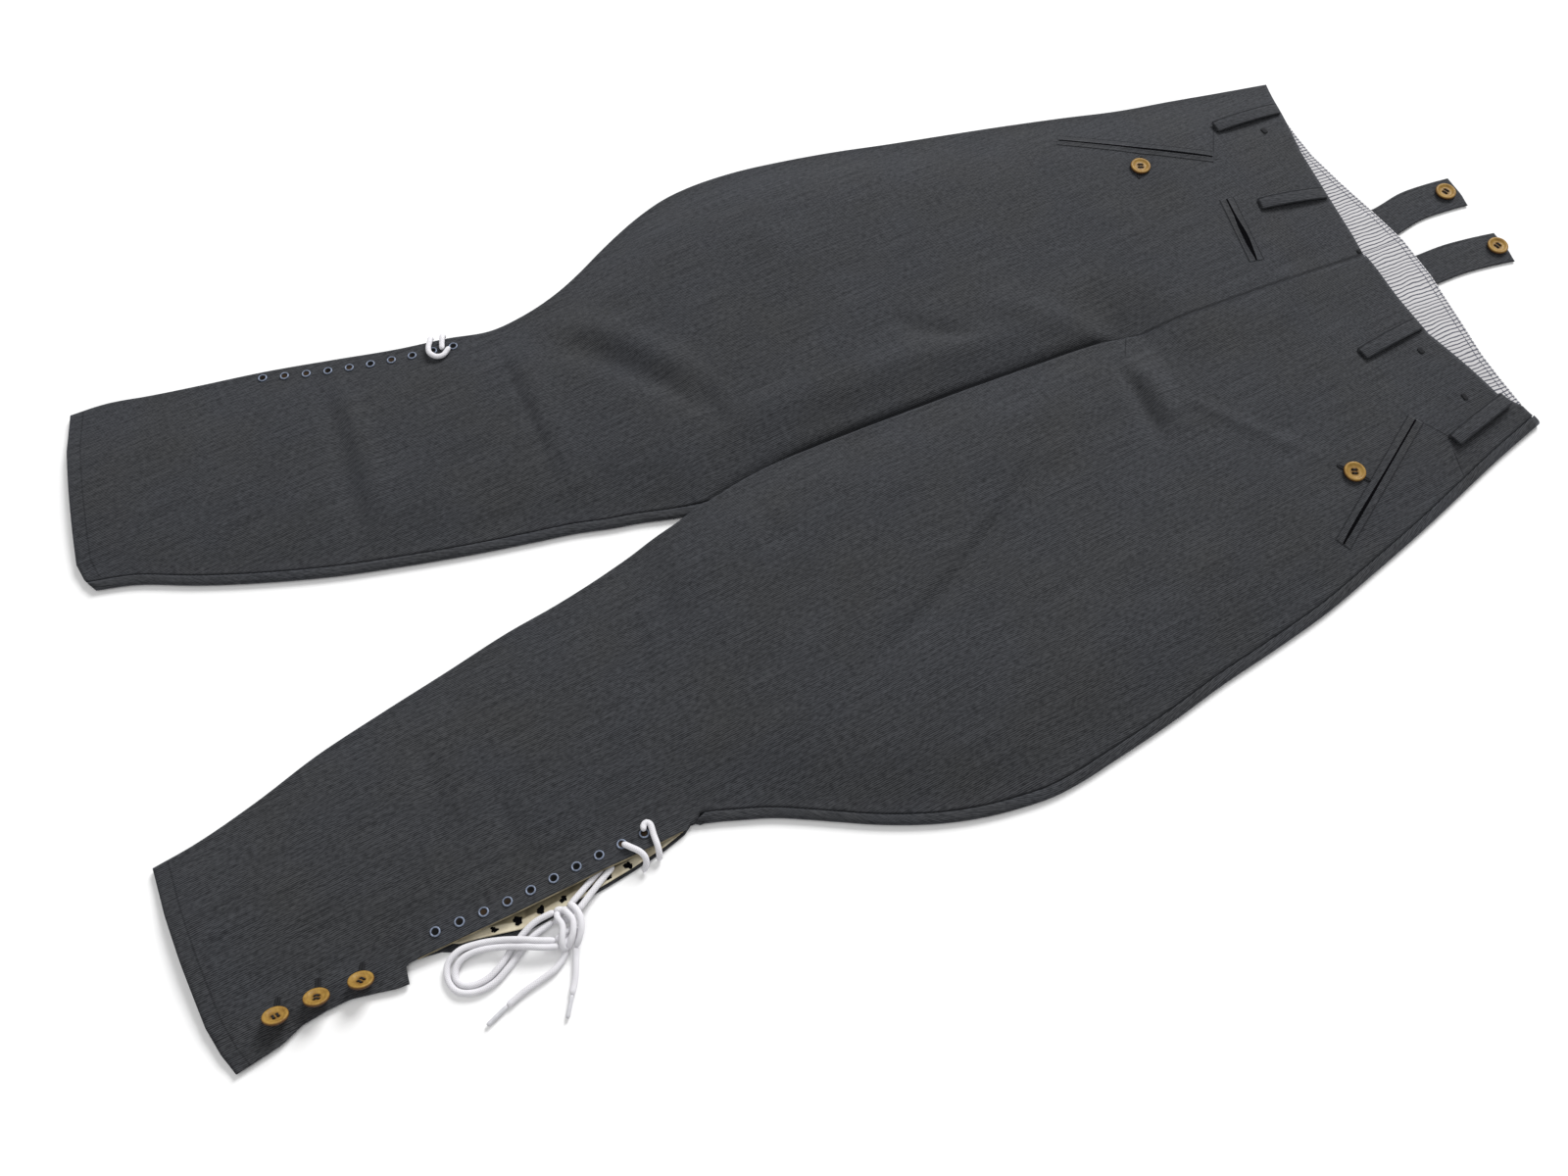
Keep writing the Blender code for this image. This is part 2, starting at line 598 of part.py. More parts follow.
def tab(group, side, fabric):
    """A strap sewn under the back waist, flat on the surface, one corner of its end rounded."""
    line = np.array(TABS[side])
    rows = []
    for y in np.linspace(line[0, 1], line[-1, 1], 9):
        middle = float(column(line[:, ::-1], 1, y))
        x = middle + TAB_WIDTH * np.array([-0.5, 0.0, 0.5])
        drop = smooth(line[-1, 1] - TAB_END, line[-1, 1], y) * np.array(TAB_END_DROP)
        z = np.full(3, TAB_THICKNESS)
        rows.append(np.stack([x, y + drop, z], axis=-1))
    return add_panel(group, side + "_back_tab", np.array(rows), TAB_THICKNESS, fabric)


def pocket_lips(group, name, ends, fabric):
    """Two welt lips side by side along a pocket's mouth, on the front's face."""
    (x0, y0), (x1, y1) = ends
    length = math.hypot(x1 - x0, y1 - y0)
    ux, uy = (x1 - x0) / length, (y1 - y0) / length
    top = front_height(name)
    for lip, sign in (("upper", 1.0), ("lower", -1.0)):
        near, far = sorted((sign * MOUTH / 2, sign * (MOUTH / 2 + LIP)))
        rows = []
        for along in np.linspace(0, 1, 9):
            offset = np.array([near, far])
            x = x0 + (x1 - x0) * along - uy * offset
            y = y0 + (y1 - y0) * along + ux * offset
            z = top(x, y) + LIP_CLEAR + LIP_THICKNESS
            rows.append(np.stack([x, y, z], axis=-1))
        grid = np.array(rows)[:, ::-1]
        add_panel(group, name + "_" + lip + "_lip", grid, LIP_THICKNESS, fabric)


def surface_turn(side, x, y):
    """The turn that lays a flat piece on the front's slope at a place."""
    top = front_height(side)
    slope_x = float(top(x + SLOPE_STEP, y) - top(x - SLOPE_STEP, y)) / (2 * SLOPE_STEP)
    slope_y = float(top(x, y + SLOPE_STEP) - top(x, y - SLOPE_STEP)) / (2 * SLOPE_STEP)
    return math.atan(slope_y), -math.atan(slope_x)


def turned(group, name, profile, steps, material, where, turn=(0.0, 0.0)):
    """A turned piece: a profile in millimetres screwed round its own Z."""
    mesh = bpy.data.meshes.new(name)
    points = [(r * MM, 0.0, z * MM) for r, z in profile]
    closed = profile[0][0] > 0
    edges = [(i, i + 1) for i in range(len(points) - 1)]
    if closed:
        edges.append((len(points) - 1, 0))
    mesh.from_pydata(points, edges, [])
    mesh.materials.append(material)
    piece = bpy.data.objects.new(name, mesh)
    group.objects.link(piece)
    piece.location = place([where])[0].tolist()
    piece.rotation_euler = (turn[0], turn[1], 0.0)
    screw = piece.modifiers.new("turned", "SCREW")
    screw.steps = screw.render_steps = steps
    screw.use_merge_vertices = True
    screw.merge_threshold = 0.00001
    return piece


def button(group, name, where, turn, horn):
    """A flat button with a raised rim round a shallow dish."""
    r, h = BUTTON / 2, BUTTON_THICKNESS
    profile = ((0.0, h - 1.0), (r * 0.55, h - 0.9), (r * 0.75, h), (r - 0.6, h), (r, h - 1.0),
               (r - BUTTON_BEVEL, 0.0), (0.0, 0.0))
    return turned(group, name, profile, BUTTON_STEPS, horn, where, turn)


def front_button(group, side, where, horn):
    """A pocket button, flat on the front."""
    x, y = where
    turn = surface_turn(side, x, y)
    z = float(front_height(side)(x, y)) + TRIM_CLEAR
    return button(group, side + "_pocket_button", (x, y, z), turn, horn)


def hem_button(group, number, where, horn):
    """A flap button that leans on its thread, its outer edge up."""
    x, y = where
    back_radius = BUTTON / 2 - BUTTON_BEVEL
    under = float(left_front_top(x - back_radius * math.cos(HEM_TILT), y))
    z = under + HEM_CLEAR + back_radius * math.sin(HEM_TILT)
    return button(group, "hem_button_%d" % number, (x, y, z), (0.0, -HEM_TILT), horn)


def eyelet_places(side):
    """Ten places along a calf, evenly spaced on a curve of four points."""
    y = np.linspace(*EYELET_SPAN[side], EYELET_COUNT)
    return [(float(column(EYELET_ROWS[side], 1, place_y)), float(place_y)) for place_y in y]


def eyelet(group, side, number, where, painted):
    """A pressed metal ring on the cloth."""
    x, y = where
    r, hole, h = EYELET / 2, EYELET_HOLE / 2, EYELET_HEIGHT
    middle = (r + hole) / 2
    profile = ((hole, 0.0), (middle, h), (r, 0.1), (r - 0.3, -0.1))
    z = float(front_height(side)(x, y)) + TRIM_CLEAR
    name = "%s_eyelet_%02d" % (side, number)
    turn = surface_turn(side, x, y)
    return turned(group, name, profile, EYELET_STEPS, painted, (x, y, z), turn)


def smooth_route(points, step):
    """Evenly spaced points on the Catmull-Rom curve through a route."""
    knots = np.array(points, dtype=float)
    padded = np.vstack([2 * knots[0] - knots[1], knots, 2 * knots[-1] - knots[-2]])
    run = []
    for a, b, c, d in zip(padded, padded[1:], padded[2:], padded[3:]):
        t = np.linspace(0, 1, 12)[:, None]
        run.append(0.5 * (2 * b + (c - a) * t + (2 * a - 5 * b + 4 * c - d) * t**2
                          + (3 * b - a - 3 * c + d) * t**3))
    fine = np.vstack(run)
    walked = np.concatenate([[0], np.cumsum(np.linalg.norm(np.diff(fine, axis=0), axis=1))])
    count = max(3, round(walked[-1] / step) + 1)
    at = np.linspace(0, walked[-1], count)
    return np.stack([np.interp(at, walked, fine[:, axis]) for axis in range(3)], axis=-1)


def cord(group, name, points, diameter, material):
    """A round tube with closed ends along points in millimetres."""
    curve = bpy.data.curves.new(name, "CURVE")
    curve.dimensions = "3D"
    curve.bevel_depth = diameter / 2 * MM
    curve.bevel_resolution = 2
    curve.use_fill_caps = True
    spline = curve.splines.new("POLY")
    spline.points.add(len(points) - 1)
    for point, where in zip(spline.points, place(points)):
        point.co = (*where, 1.0)
    curve.materials.append(material)
    piece = bpy.data.objects.new(name, curve)
    group.objects.link(piece)
    return piece


def knot(group, cotton):
    """The slip knot's outer shape."""
    mesh = bpy.data.meshes.new("lace_knot")
    shape = bmesh.new()
    bmesh.ops.create_uvsphere(shape, u_segments=14, v_segments=8, radius=MM)
    bmesh.ops.scale(shape, vec=KNOT_SIZE, verts=shape.verts)
    shape.to_mesh(mesh)
    shape.free()
    mesh.shade_smooth()
    mesh.materials.append(cotton)
    piece = bpy.data.objects.new("lace_knot", mesh)
    group.objects.link(piece)
    piece.location = place([KNOT_CENTRE])[0].tolist()
    piece.rotation_euler = (0.0, 0.0, KNOT_TURN)
    return piece


def build():
    group = start_collection()
    fabric = make_material("slate twill", FABRIC)
    striped = make_material("striped lining", STRIPED)
    cream = make_material("cream facing", CREAM)
    horn = make_material("horn button", HORN)
    painted = make_material("painted eyelet", PAINTED)
    cotton = make_material("cotton lace", COTTON)
    sleeve = make_material("lace end", SLEEVE)

    right_front(group, fabric)
    left_front(group, fabric)
    right_back(group, fabric)
    left_back(group, fabric)
    waist_lining(group, striped)
    slit_facing(group, cream)
    for side, ends in LOOPS.items():
        belt_loop(group, side, ends, fabric)
    for side in TABS:
        tab(group, side, fabric)
        x, y = TAB_BUTTONS[side]
        where = (x, y, TAB_THICKNESS + GAP)
        button(group, side + "_tab_button", where, (0.0, 0.0), horn)
    for name, ends in POCKETS.items():
        pocket_lips(group, name, ends, fabric)
    for side, where in POCKET_BUTTONS.items():
        front_button(group, side, where, horn)
    for number, where in enumerate(HEM_BUTTONS, 1):
        hem_button(group, number, where, horn)
    for side in EYELET_ROWS:
        for number, where in enumerate(eyelet_places(side), 1):
            eyelet(group, side, number, where, painted)
    knot(group, cotton)
    for name, route in HELD_LACES.items():
        cord(group, name, smooth_route(route, HELD_STEP), LACE, cotton)
    for name, route in LOOSE_LACES.items():
        cord(group, name, smooth_route(route, LOOSE_STEP), LACE, cotton)
    for name, ends in AGLETS.items():
        cord(group, name, np.array(ends), AGLET, sleeve)


build()
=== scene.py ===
"""Military riding breeches in slate twill, laid flat on their back."""
import math

import bpy
import numpy as np
from mathutils import Matrix, Vector


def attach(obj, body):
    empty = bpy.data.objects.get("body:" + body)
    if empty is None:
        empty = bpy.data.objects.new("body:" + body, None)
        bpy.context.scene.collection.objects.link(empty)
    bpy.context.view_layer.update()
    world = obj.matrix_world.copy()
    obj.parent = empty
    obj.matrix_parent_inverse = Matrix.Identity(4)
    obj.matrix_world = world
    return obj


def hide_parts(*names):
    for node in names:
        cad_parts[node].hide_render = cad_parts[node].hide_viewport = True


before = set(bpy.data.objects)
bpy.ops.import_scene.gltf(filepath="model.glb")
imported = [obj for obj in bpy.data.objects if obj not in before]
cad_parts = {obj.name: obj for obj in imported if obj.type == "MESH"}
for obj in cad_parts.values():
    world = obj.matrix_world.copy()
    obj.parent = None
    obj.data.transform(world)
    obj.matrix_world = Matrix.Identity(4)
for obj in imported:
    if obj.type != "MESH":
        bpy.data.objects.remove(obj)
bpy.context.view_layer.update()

# Camera, floor and light
# A camera over the wearer's left knee looks down along the garment. The floor is a plain white
# sweep. One broad soft lamp beyond the wearer's right hip rakes across and gives the folds their
# shade, and a wide dim one overhead and an even pale sky fill the rest.
EYE = (0.5276, -0.2999, 0.955)
SIGHT_RIGHT = (0.4018, 0.9157, 0.0)
SIGHT_UP = (-0.8151, 0.3576, 0.4557)
LENS = 33.75
FLOOR_DROP = 0.0004


def add(tree, kind, inputs=(), **settings):
    """A shader node; its inputs, by place or by name, are values or other nodes' outputs."""
    made = tree.nodes.new("ShaderNode" + kind)
    for name, value in settings.items():
        setattr(made, name, value)
    for key, value in inputs.items() if isinstance(inputs, dict) else enumerate(inputs):
        if isinstance(value, bpy.types.NodeSocket):
            tree.links.new(value, made.inputs[key])
        else:
            made.inputs[key].default_value = value
    return made


def noise(tree, at, scale, detail=2.0):
    """Soft noise over a piece: so many patches to the metre, and finer ones over them."""
    return add(tree, "TexNoise", {"Vector": at, "Scale": scale, "Detail": detail}).outputs[0]


def span(tree, value, low, high, first, last):
    """A value between low and high carried over to first and last, and held at both ends."""
    return add(tree, "MapRange", [value, low, high, first, last]).outputs[0]


def blend(tree, share, first, last):
    """Two colours mixed by a share."""
    ends = [(*end, 1.0) if isinstance(end, tuple) else end for end in (first, last)]
    return add(tree, "Mix", {0: share, 6: ends[0], 7: ends[1]}, data_type="RGBA").outputs[2]


def maths(tree, operation, *values, clamp=False):
    """One sum of a few values, held between 0 and 1 if asked."""
    return add(tree, "Math", values, operation=operation, use_clamp=clamp).outputs[0]


def finish_of(name, roughness, sheen=0.0, specular=0.5):
    """A new material, its node tree and its Principled shader."""
    material = bpy.data.materials.new(name)
    material.use_nodes = True
    shader = material.node_tree.nodes["Principled BSDF"]
    shader.inputs["Roughness"].default_value = roughness
    shader.inputs["Sheen Weight"].default_value = sheen
    shader.inputs["Specular IOR Level"].default_value = specular
    return material, material.node_tree, shader


def surface(tree, shader, colour, height, strength, distance):
    """Gives a finish its colour, and its small relief so strong and so deep in metres."""
    bump = add(tree, "Bump", {"Strength": strength, "Distance": distance, "Height": height})
    tree.links.new(colour, shader.inputs["Base Color"])
    tree.links.new(bump.outputs[0], shader.inputs["Normal"])


camera = bpy.data.objects.new("camera", bpy.data.cameras.new("camera"))
bpy.context.scene.collection.objects.link(camera)
right, up = Vector(SIGHT_RIGHT).normalized(), Vector(SIGHT_UP).normalized()
turn = Matrix((right, up, right.cross(up))).transposed()
camera.matrix_world = Matrix.Translation(EYE) @ turn.to_4x4()
camera.data.lens = LENS
camera.data.sensor_width = 36.0
camera.data.sensor_fit = "HORIZONTAL"
camera.data.clip_start = 0.01
bpy.context.scene.camera = camera

floor_mesh = bpy.data.meshes.new("floor")
floor_mesh.from_pydata([(x, y, -FLOOR_DROP) for x, y in ((-9, -9), (9, -9), (9, 9), (-9, 9))],
                       [], [(0, 1, 2, 3)])
floor = bpy.data.objects.new("floor", floor_mesh)
bpy.context.scene.collection.objects.link(floor)
floor_paint, tree, shader = finish_of("white sweep", 0.9, specular=0.1)
shader.inputs["Base Color"].default_value = (0.97, 0.97, 0.97, 1.0)
floor_mesh.materials.append(floor_paint)

for name, at, aim, size, power in (
    ("broad lamp", (-4.6, 5.0, 5.3), (0.0, 0.0, 0.0), 3.8, 750.0),
    ("fill lamp", (0.4, -0.8, 2.2), (0.0, 0.0, 0.0), 2.0, 15.0),
):
    lamp = bpy.data.lights.new(name, "AREA")
    lamp.size = size
    lamp.energy = power
    stand = bpy.data.objects.new(name, lamp)
    bpy.context.scene.collection.objects.link(stand)
    stand.location = at
    stand.rotation_euler = (Vector(aim) - Vector(at)).to_track_quat("-Z", "Y").to_euler()
sky = bpy.data.worlds.new("pale sky")
bpy.context.scene.world = sky
sky.use_nodes = True
sky.node_tree.nodes["Background"].inputs["Color"].default_value = (1.0, 1.0, 1.0, 1.0)
sky.node_tree.nodes["Background"].inputs["Strength"].default_value = 0.38
bpy.context.scene.view_settings.view_transform = "Standard"

# Laces
# One white cotton lace, a braided tube 4 mm wide, through the eyelets of each calf. The right one
# shows where it turns round the leg's edge. The left one leaves the slit in two tails to a slip
# knot, its double loop and two free ends, each crimped in a clear sleeve.
MM = 0.001
CENTRE_X = 7.4
CENTRE_Y = 299.9
LACE_SHAPE = (2.15, 1.9)
SLEEVE_SHAPE = (1.45, 1.45)
LACE_AROUND = 18
LACE_STEP = 1.2
HELD_LACES = {
    "right_lace_upper": (
        (-226.9, 37.8, 0.7), (-226.9, 37.7, 3.2), (-225.0, 37.0, 6.3), (-221.3, 35.8, 7.8),
        (-216.0, 34.0, 8.2), (-210.8, 32.6, 8.6),
    ),
    "right_lace_lower": (
        (-228.3, 28.0, 0.6), (-228.3, 27.9, 3.2), (-226.2, 27.4, 6.5), (-221.9, 26.0, 8.6),
        (-216.0, 23.2, 9.7), (-210.5, 22.6, 9.8), (-205.4, 26.2, 9.6), (-204.6, 31.4, 9.3),
        (-207.6, 35.6, 9.2), (-210.2, 38.4, 9.4),
    ),
    "left_lace_upper": (
        (221.0, 36.0, 10.3), (217.4, 36.9, 9.9), (215.9, 39.6, 9.6), (218.6, 41.6, 9.5),
        (225.5, 41.0, 9.4), (232.0, 40.8, 9.7), (236.8, 40.2, 8.0), (239.6, 39.4, 5.0),
        (240.0, 38.9, 2.4), (240.0, 38.8, 0.6),
    ),
    "left_lace_lower": (
        (223.4, 19.6, 11.1), (228.0, 23.9, 11.0), (232.6, 28.0, 10.7), (237.0, 30.2, 9.2),
        (241.0, 29.6, 6.6), (243.3, 27.0, 3.6), (243.4, 26.2, 1.2),
    ),
}
LACE_TAILS = {
    "lace_tail_front": ((231.6, 2.2, 5.0), (235.4, -5.2, 5.0), (239.8, -13.6, 5.1),
                        (246.7, -26.3, 5.3)),
    "lace_tail_back": ((233.5, 9.0, 5.0), (238.4, -0.2, 5.0), (243.9, -9.3, 5.1),
                       (252.1, -22.7, 5.3)),
}
LACE_LOOPS = {
    "lace_loop_outer": (
        (265.2, -42.7, 6.6), (260.9, -53, 7.8), (256, -63, 8.4), (250.3, -76, 6.2),
        (246.6, -90, 5.4), (246.0, -102, 5.1), (250.8, -111.3, 3.6), (260.5, -114.5, 2.4),
        (270, -110.8, 2.3), (274.8, -100, 2.3), (273.9, -88, 2.3), (268.6, -77, 2.3),
        (262.4, -67, 2.4), (256.4, -57, 2.5), (253.4, -47, 2.8), (252.2, -40.1, 3.4),
    ),
    "lace_loop_inner": (
        (269.9, -41.5, 6.8), (266.5, -51.5, 7.6), (261.2, -62.5, 8.0), (255.3, -75, 5.9),
        (251.3, -88, 5.0), (250.8, -98.5, 4.6), (254.0, -106.2, 3.2), (261.2, -109.7, 2.3),
        (267.2, -106.5, 2.3), (270.0, -99, 2.3), (269.2, -89.5, 2.3), (264.4, -79.8, 2.3),
        (257.6, -70, 2.9), (251.6, -60, 4.0), (248.0, -50, 5.4), (247.1, -37.1, 6.6),
    ),
}
LACE_ENDS = {
    "lace_end_back": (
        (273.5, -32.0, 4.1), (280, -34.5, 2.6), (291, -39.0, 2.3), (301, -45.0, 2.3),
    ),
    "lace_end_front": (
        (272.2, -37.6, 3.5), (277.7, -43.2, 2.5), (282, -51, 2.3), (284.5, -62, 2.3),
        (287, -73, 2.3), (291, -85, 2.3),
    ),
}
AGLETS = {
    "aglet_back": ((301.0, -45.0, 2.2), (305.0, -47.4, 2.0), (309.5, -50.1, 1.9),
                   (313.5, -52.6, 1.8)),
    "aglet_front": ((291.0, -85.0, 2.2), (293.0, -90.0, 2.0), (295.2, -95.4, 1.9),
                    (297.3, -100.6, 1.8)),
}
KNOT_STRANDS = (
    ((246.7, -26.3, 5.6), (247.5, -25.6, 8.6), (251.5, -23.6, 10.0), (258, -22.6, 10.3),
     (264.6, -24.2, 9.8), (270.3, -28.2, 7.2), (273.5, -32.0, 4.1)),
    ((252.1, -22.7, 5.3), (250.5, -27.0, 5.6), (248.6, -31.0, 8.2), (252.6, -29.3, 10.4),
     (258.5, -27.8, 10.8), (264.8, -29.8, 10.6), (269.8, -33.6, 8.4), (272.2, -37.6, 3.5)),
    ((265.2, -42.7, 6.6), (263.6, -37.5, 7.4), (261.8, -31.0, 5.8), (259.5, -26.0, 4.2)),
    ((269.9, -41.5, 6.8), (268.6, -36.0, 6.6), (266.2, -30.0, 5.2), (263.5, -26.5, 4.0)),
    ((252.2, -40.1, 3.4), (253.2, -35.0, 4.0), (255.5, -29.0, 4.4)),
    ((247.1, -37.1, 6.6), (247.4, -33.5, 7.4), (249.5, -30.0, 6.4), (253.5, -27.5, 5.0)),
    ((249.6, -31.5, 3.4), (249.0, -35.4, 6.6), (252.6, -36.4, 9.4), (258.6, -35.2, 10.2),
     (264.6, -37.2, 10.3), (269.8, -39.4, 8.6), (272.4, -38.8, 5.2), (270.6, -34.6, 3.2)),
)


def place(points):
    """Table places in millimetres as metres from the part's origin."""
    return (np.asarray(points, dtype=float) - (CENTRE_X, CENTRE_Y, 0.0)) * MM


def walk(line):
    """The length walked to each point of a line."""
    return np.concatenate([[0.0], np.cumsum(np.linalg.norm(np.diff(line, axis=0), axis=1))])


def pairs(u, v):
    """A UV grid from its U and V, either of which may be one row or one column."""
    return np.stack(np.broadcast_arrays(u, v), axis=-1)


def heading(x0, y0, x1, y1):
    """The length from one point to another and the direction, as a unit vector's x and y."""
    length = math.hypot(x1 - x0, y1 - y0)
    return length, (x1 - x0) / length, (y1 - y0) / length


def smooth_route(points, step):
    """Evenly spaced points on the Catmull-Rom curve through a route."""
    knots = np.array(points, dtype=float)
    padded = np.vstack([2 * knots[0] - knots[1], knots, 2 * knots[-1] - knots[-2]])
    t = np.linspace(0, 1, 16)[:, None]
    fine = np.vstack([
        0.5 * (2 * b + (c - a) * t + (2 * a - 5 * b + 4 * c - d) * t**2
               + (3 * b - a - 3 * c + d) * t**3)
        for a, b, c, d in zip(padded, padded[1:], padded[2:], padded[3:])
    ])
    walked = walk(fine)
    at = np.linspace(0, walked[-1], max(4, round(walked[-1] / step) + 1))
    return np.stack([np.interp(at, walked, fine[:, axis]) for axis in range(3)], axis=-1)


def corners_of(index):
    """The four corners of each cell in a grid of numbers."""
    return np.stack([index[:-1, :-1], index[:-1, 1:], index[1:, 1:], index[1:, :-1]], axis=-1)


def new_piece(name, points, faces, uv, material):
    """One smooth piece on the root from points in table millimetres, four corners to a face and
    a UV place in metres to a corner."""
    mesh = bpy.data.meshes.new(name)
    mesh.from_pydata(place(points.reshape(-1, 3)).tolist(), [], faces.reshape(-1, 4).tolist())
    layer = mesh.uv_layers.new(name="cloth")
    layer.data.foreach_set("uv", uv.ravel())
    mesh.shade_smooth()
    mesh.materials.append(material)
    piece = bpy.data.objects.new(name, mesh)
    bpy.context.scene.collection.objects.link(piece)
    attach(piece, "root")
    return piece


def thicken(piece, thickness, inward=-1.0):
    """Gives a surface a wall so many millimetres thick, under it, or over it when inward is 1."""
    wall = piece.modifiers.new("cloth wall", "SOLIDIFY")
    wall.thickness = thickness * MM
    wall.offset = inward


def mesh_piece(name, patches, material):
    """One piece from grids of points in table millimetres. Each patch is (points, around,
    uv): rows by columns, joined round when around is true, with its UV map in metres."""
    places, faces, flats = [], [], []
    count = 0
    for points, around, uv in patches:
        rows, columns = points.shape[:2]
        index = count + np.arange(rows * columns).reshape(rows, columns)
        if around:
            index = np.hstack([index, index[:, :1]])
        corners = corners_of(np.arange(uv.shape[0] * uv.shape[1]).reshape(uv.shape[:2]))
        places.append(points.reshape(-1, 3))
        faces.append(corners_of(index).reshape(-1, 4))
        flats.append(uv.reshape(-1, 2)[corners.reshape(-1)])
        count += rows * columns
    return new_piece(name, np.vstack(places), np.vstack(faces), np.vstack(flats), material)


def tube(route, shape, taper=(0.5, 0.86, 1.0)):
    """An oval carried along a route: half its width times cos a across and level, half its
    height times sin a up. Both ends close in three rings to a point."""
    tangent = np.gradient(route, axis=0)
    tangent /= np.linalg.norm(tangent, axis=1)[:, None]
    level = np.cross(tangent, (0.0, 0.0, 1.0))
    flat_share = np.linalg.norm(level, axis=1)
    sure = np.flatnonzero(flat_share > 0.3)
    nearest = sure[np.argmin(np.abs(np.arange(len(route))[:, None] - sure[None]), axis=1)]
    level = level[nearest]
    level -= tangent * np.sum(level * tangent, axis=1)[:, None]
    level /= np.linalg.norm(level, axis=1)[:, None]
    upward = np.cross(level, tangent)
    size = np.ones(len(route))
    size[:len(taper)], size[-len(taper):] = taper, taper[::-1]
    angle = np.linspace(0, math.tau, LACE_AROUND, endpoint=False)
    ring = (level[:, None] * (shape[0] * np.cos(angle))[None, :, None]
            + upward[:, None] * (shape[1] * np.sin(angle))[None, :, None])
    points = route[:, None] + ring * size[:, None, None]
    start, end = route[:1, None].repeat(LACE_AROUND, 1), route[-1:, None].repeat(LACE_AROUND, 1)
    points = np.concatenate([start, points, end])
    walked = np.pad(walk(route), 1, "edge") * MM
    around = np.linspace(0, math.tau * (shape[0] + shape[1]) / 2 * MM, LACE_AROUND + 1)
    return points, True, pairs(around[None, :], walked[:, None])


def new_group(name, vectors, numbers, outputs):
    """A node group and its two ends, with vector inputs, number inputs and their values, and
    number outputs."""
    tree = bpy.data.node_groups.new(name, "ShaderNodeTree")
    for socket in vectors:
        tree.interface.new_socket(socket, in_out="INPUT", socket_type="NodeSocketVector")
    for socket, value in numbers.items():
        made = tree.interface.new_socket(socket, in_out="INPUT", socket_type="NodeSocketFloat")
        made.default_value = value
    for socket in outputs:
        tree.interface.new_socket(socket, in_out="OUTPUT", socket_type="NodeSocketFloat")
    return tree, tree.nodes.new("NodeGroupInput"), tree.nodes.new("NodeGroupOutput")


def braid_group():
    """Two sets of yarns that cross on the diagonal, each a ridge, one over the other in turn."""
    tree, start, end = new_group("braided yarns", ["Cloth"], {"Pitch": 0.0016}, ["Height"])
    parts = add(tree, "SeparateXYZ", [start.outputs["Cloth"]])
    ridges = []
    for operation in ("ADD", "SUBTRACT"):
        way = maths(tree, operation, parts.outputs[1], parts.outputs[0])
        phase = maths(tree, "DIVIDE", way, start.outputs["Pitch"])
        wave = maths(tree, "MULTIPLY", phase, math.tau)
        ridges.append(maths(tree, "SINE", wave))
    over = maths(tree, "MAXIMUM", *ridges)
    tree.links.new(over, end.inputs["Height"])
    return tree


lace_white, tree, shader = finish_of("white cotton braid", 0.8, sheen=0.15)
where = add(tree, "TexCoord")
braid = add(tree, "Group", node_tree=braid_group())
tree.links.new(where.outputs["UV"], braid.inputs["Cloth"])
fluff = noise(tree, where.outputs["Object"], 900.0)
soil = noise(tree, where.outputs["Object"], 60.0)
# Painted shade: the braid's hollows are coloured darker than its ridges, with fluff noise over
# both; the soil noise greys the whole at random.
lie = maths(tree, "MULTIPLY_ADD", fluff, 0.8, braid.outputs[0])
shade = span(tree, lie, -0.6, 1.4, 0.0, 1.0)
yarn = blend(tree, shade, (0.6, 0.59, 0.63), (0.82, 0.81, 0.84))
grey = span(tree, soil, 0.35, 0.7, 1.0, 0.9)
soil_and_braid_shade = add(tree, "VectorMath", {0: yarn}, operation="SCALE")
tree.links.new(grey, soil_and_braid_shade.inputs["Scale"])
surface(tree, shader, soil_and_braid_shade.outputs[0], lie, 0.35, 0.00025)

sleeve_clear, tree, shader = finish_of("clear lace sleeve", 0.28)
shader.inputs["Coat Weight"].default_value = 0.6
where = add(tree, "TexCoord")
film = noise(tree, where.outputs["Object"], 420.0)
tone = blend(tree, film, (0.47, 0.47, 0.5), (0.7, 0.7, 0.73))
surface(tree, shader, tone, film, 0.2, 0.0002)

for name, route in HELD_LACES.items():
    held = mesh_piece(name + "_braid", [tube(smooth_route(route, LACE_STEP), LACE_SHAPE)],
                      lace_white)
    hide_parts(name)

knot = mesh_piece("slip_knot", [tube(smooth_route(s, LACE_STEP), LACE_SHAPE)
                                for s in KNOT_STRANDS], lace_white)
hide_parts("lace_knot")

for name, route in AGLETS.items():
    mesh_piece(
        name + "_sleeve", [tube(smooth_route(route, LACE_STEP), SLEEVE_SHAPE, (0.7, 0.95, 1.0))],
        sleeve_clear)
    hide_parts(name)

for name, route in {**LACE_TAILS, **LACE_LOOPS, **LACE_ENDS}.items():
    line = smooth_route(route, LACE_STEP)
    lace = mesh_piece(name + "_braid", [tube(line, LACE_SHAPE)], lace_white)
    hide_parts(name)

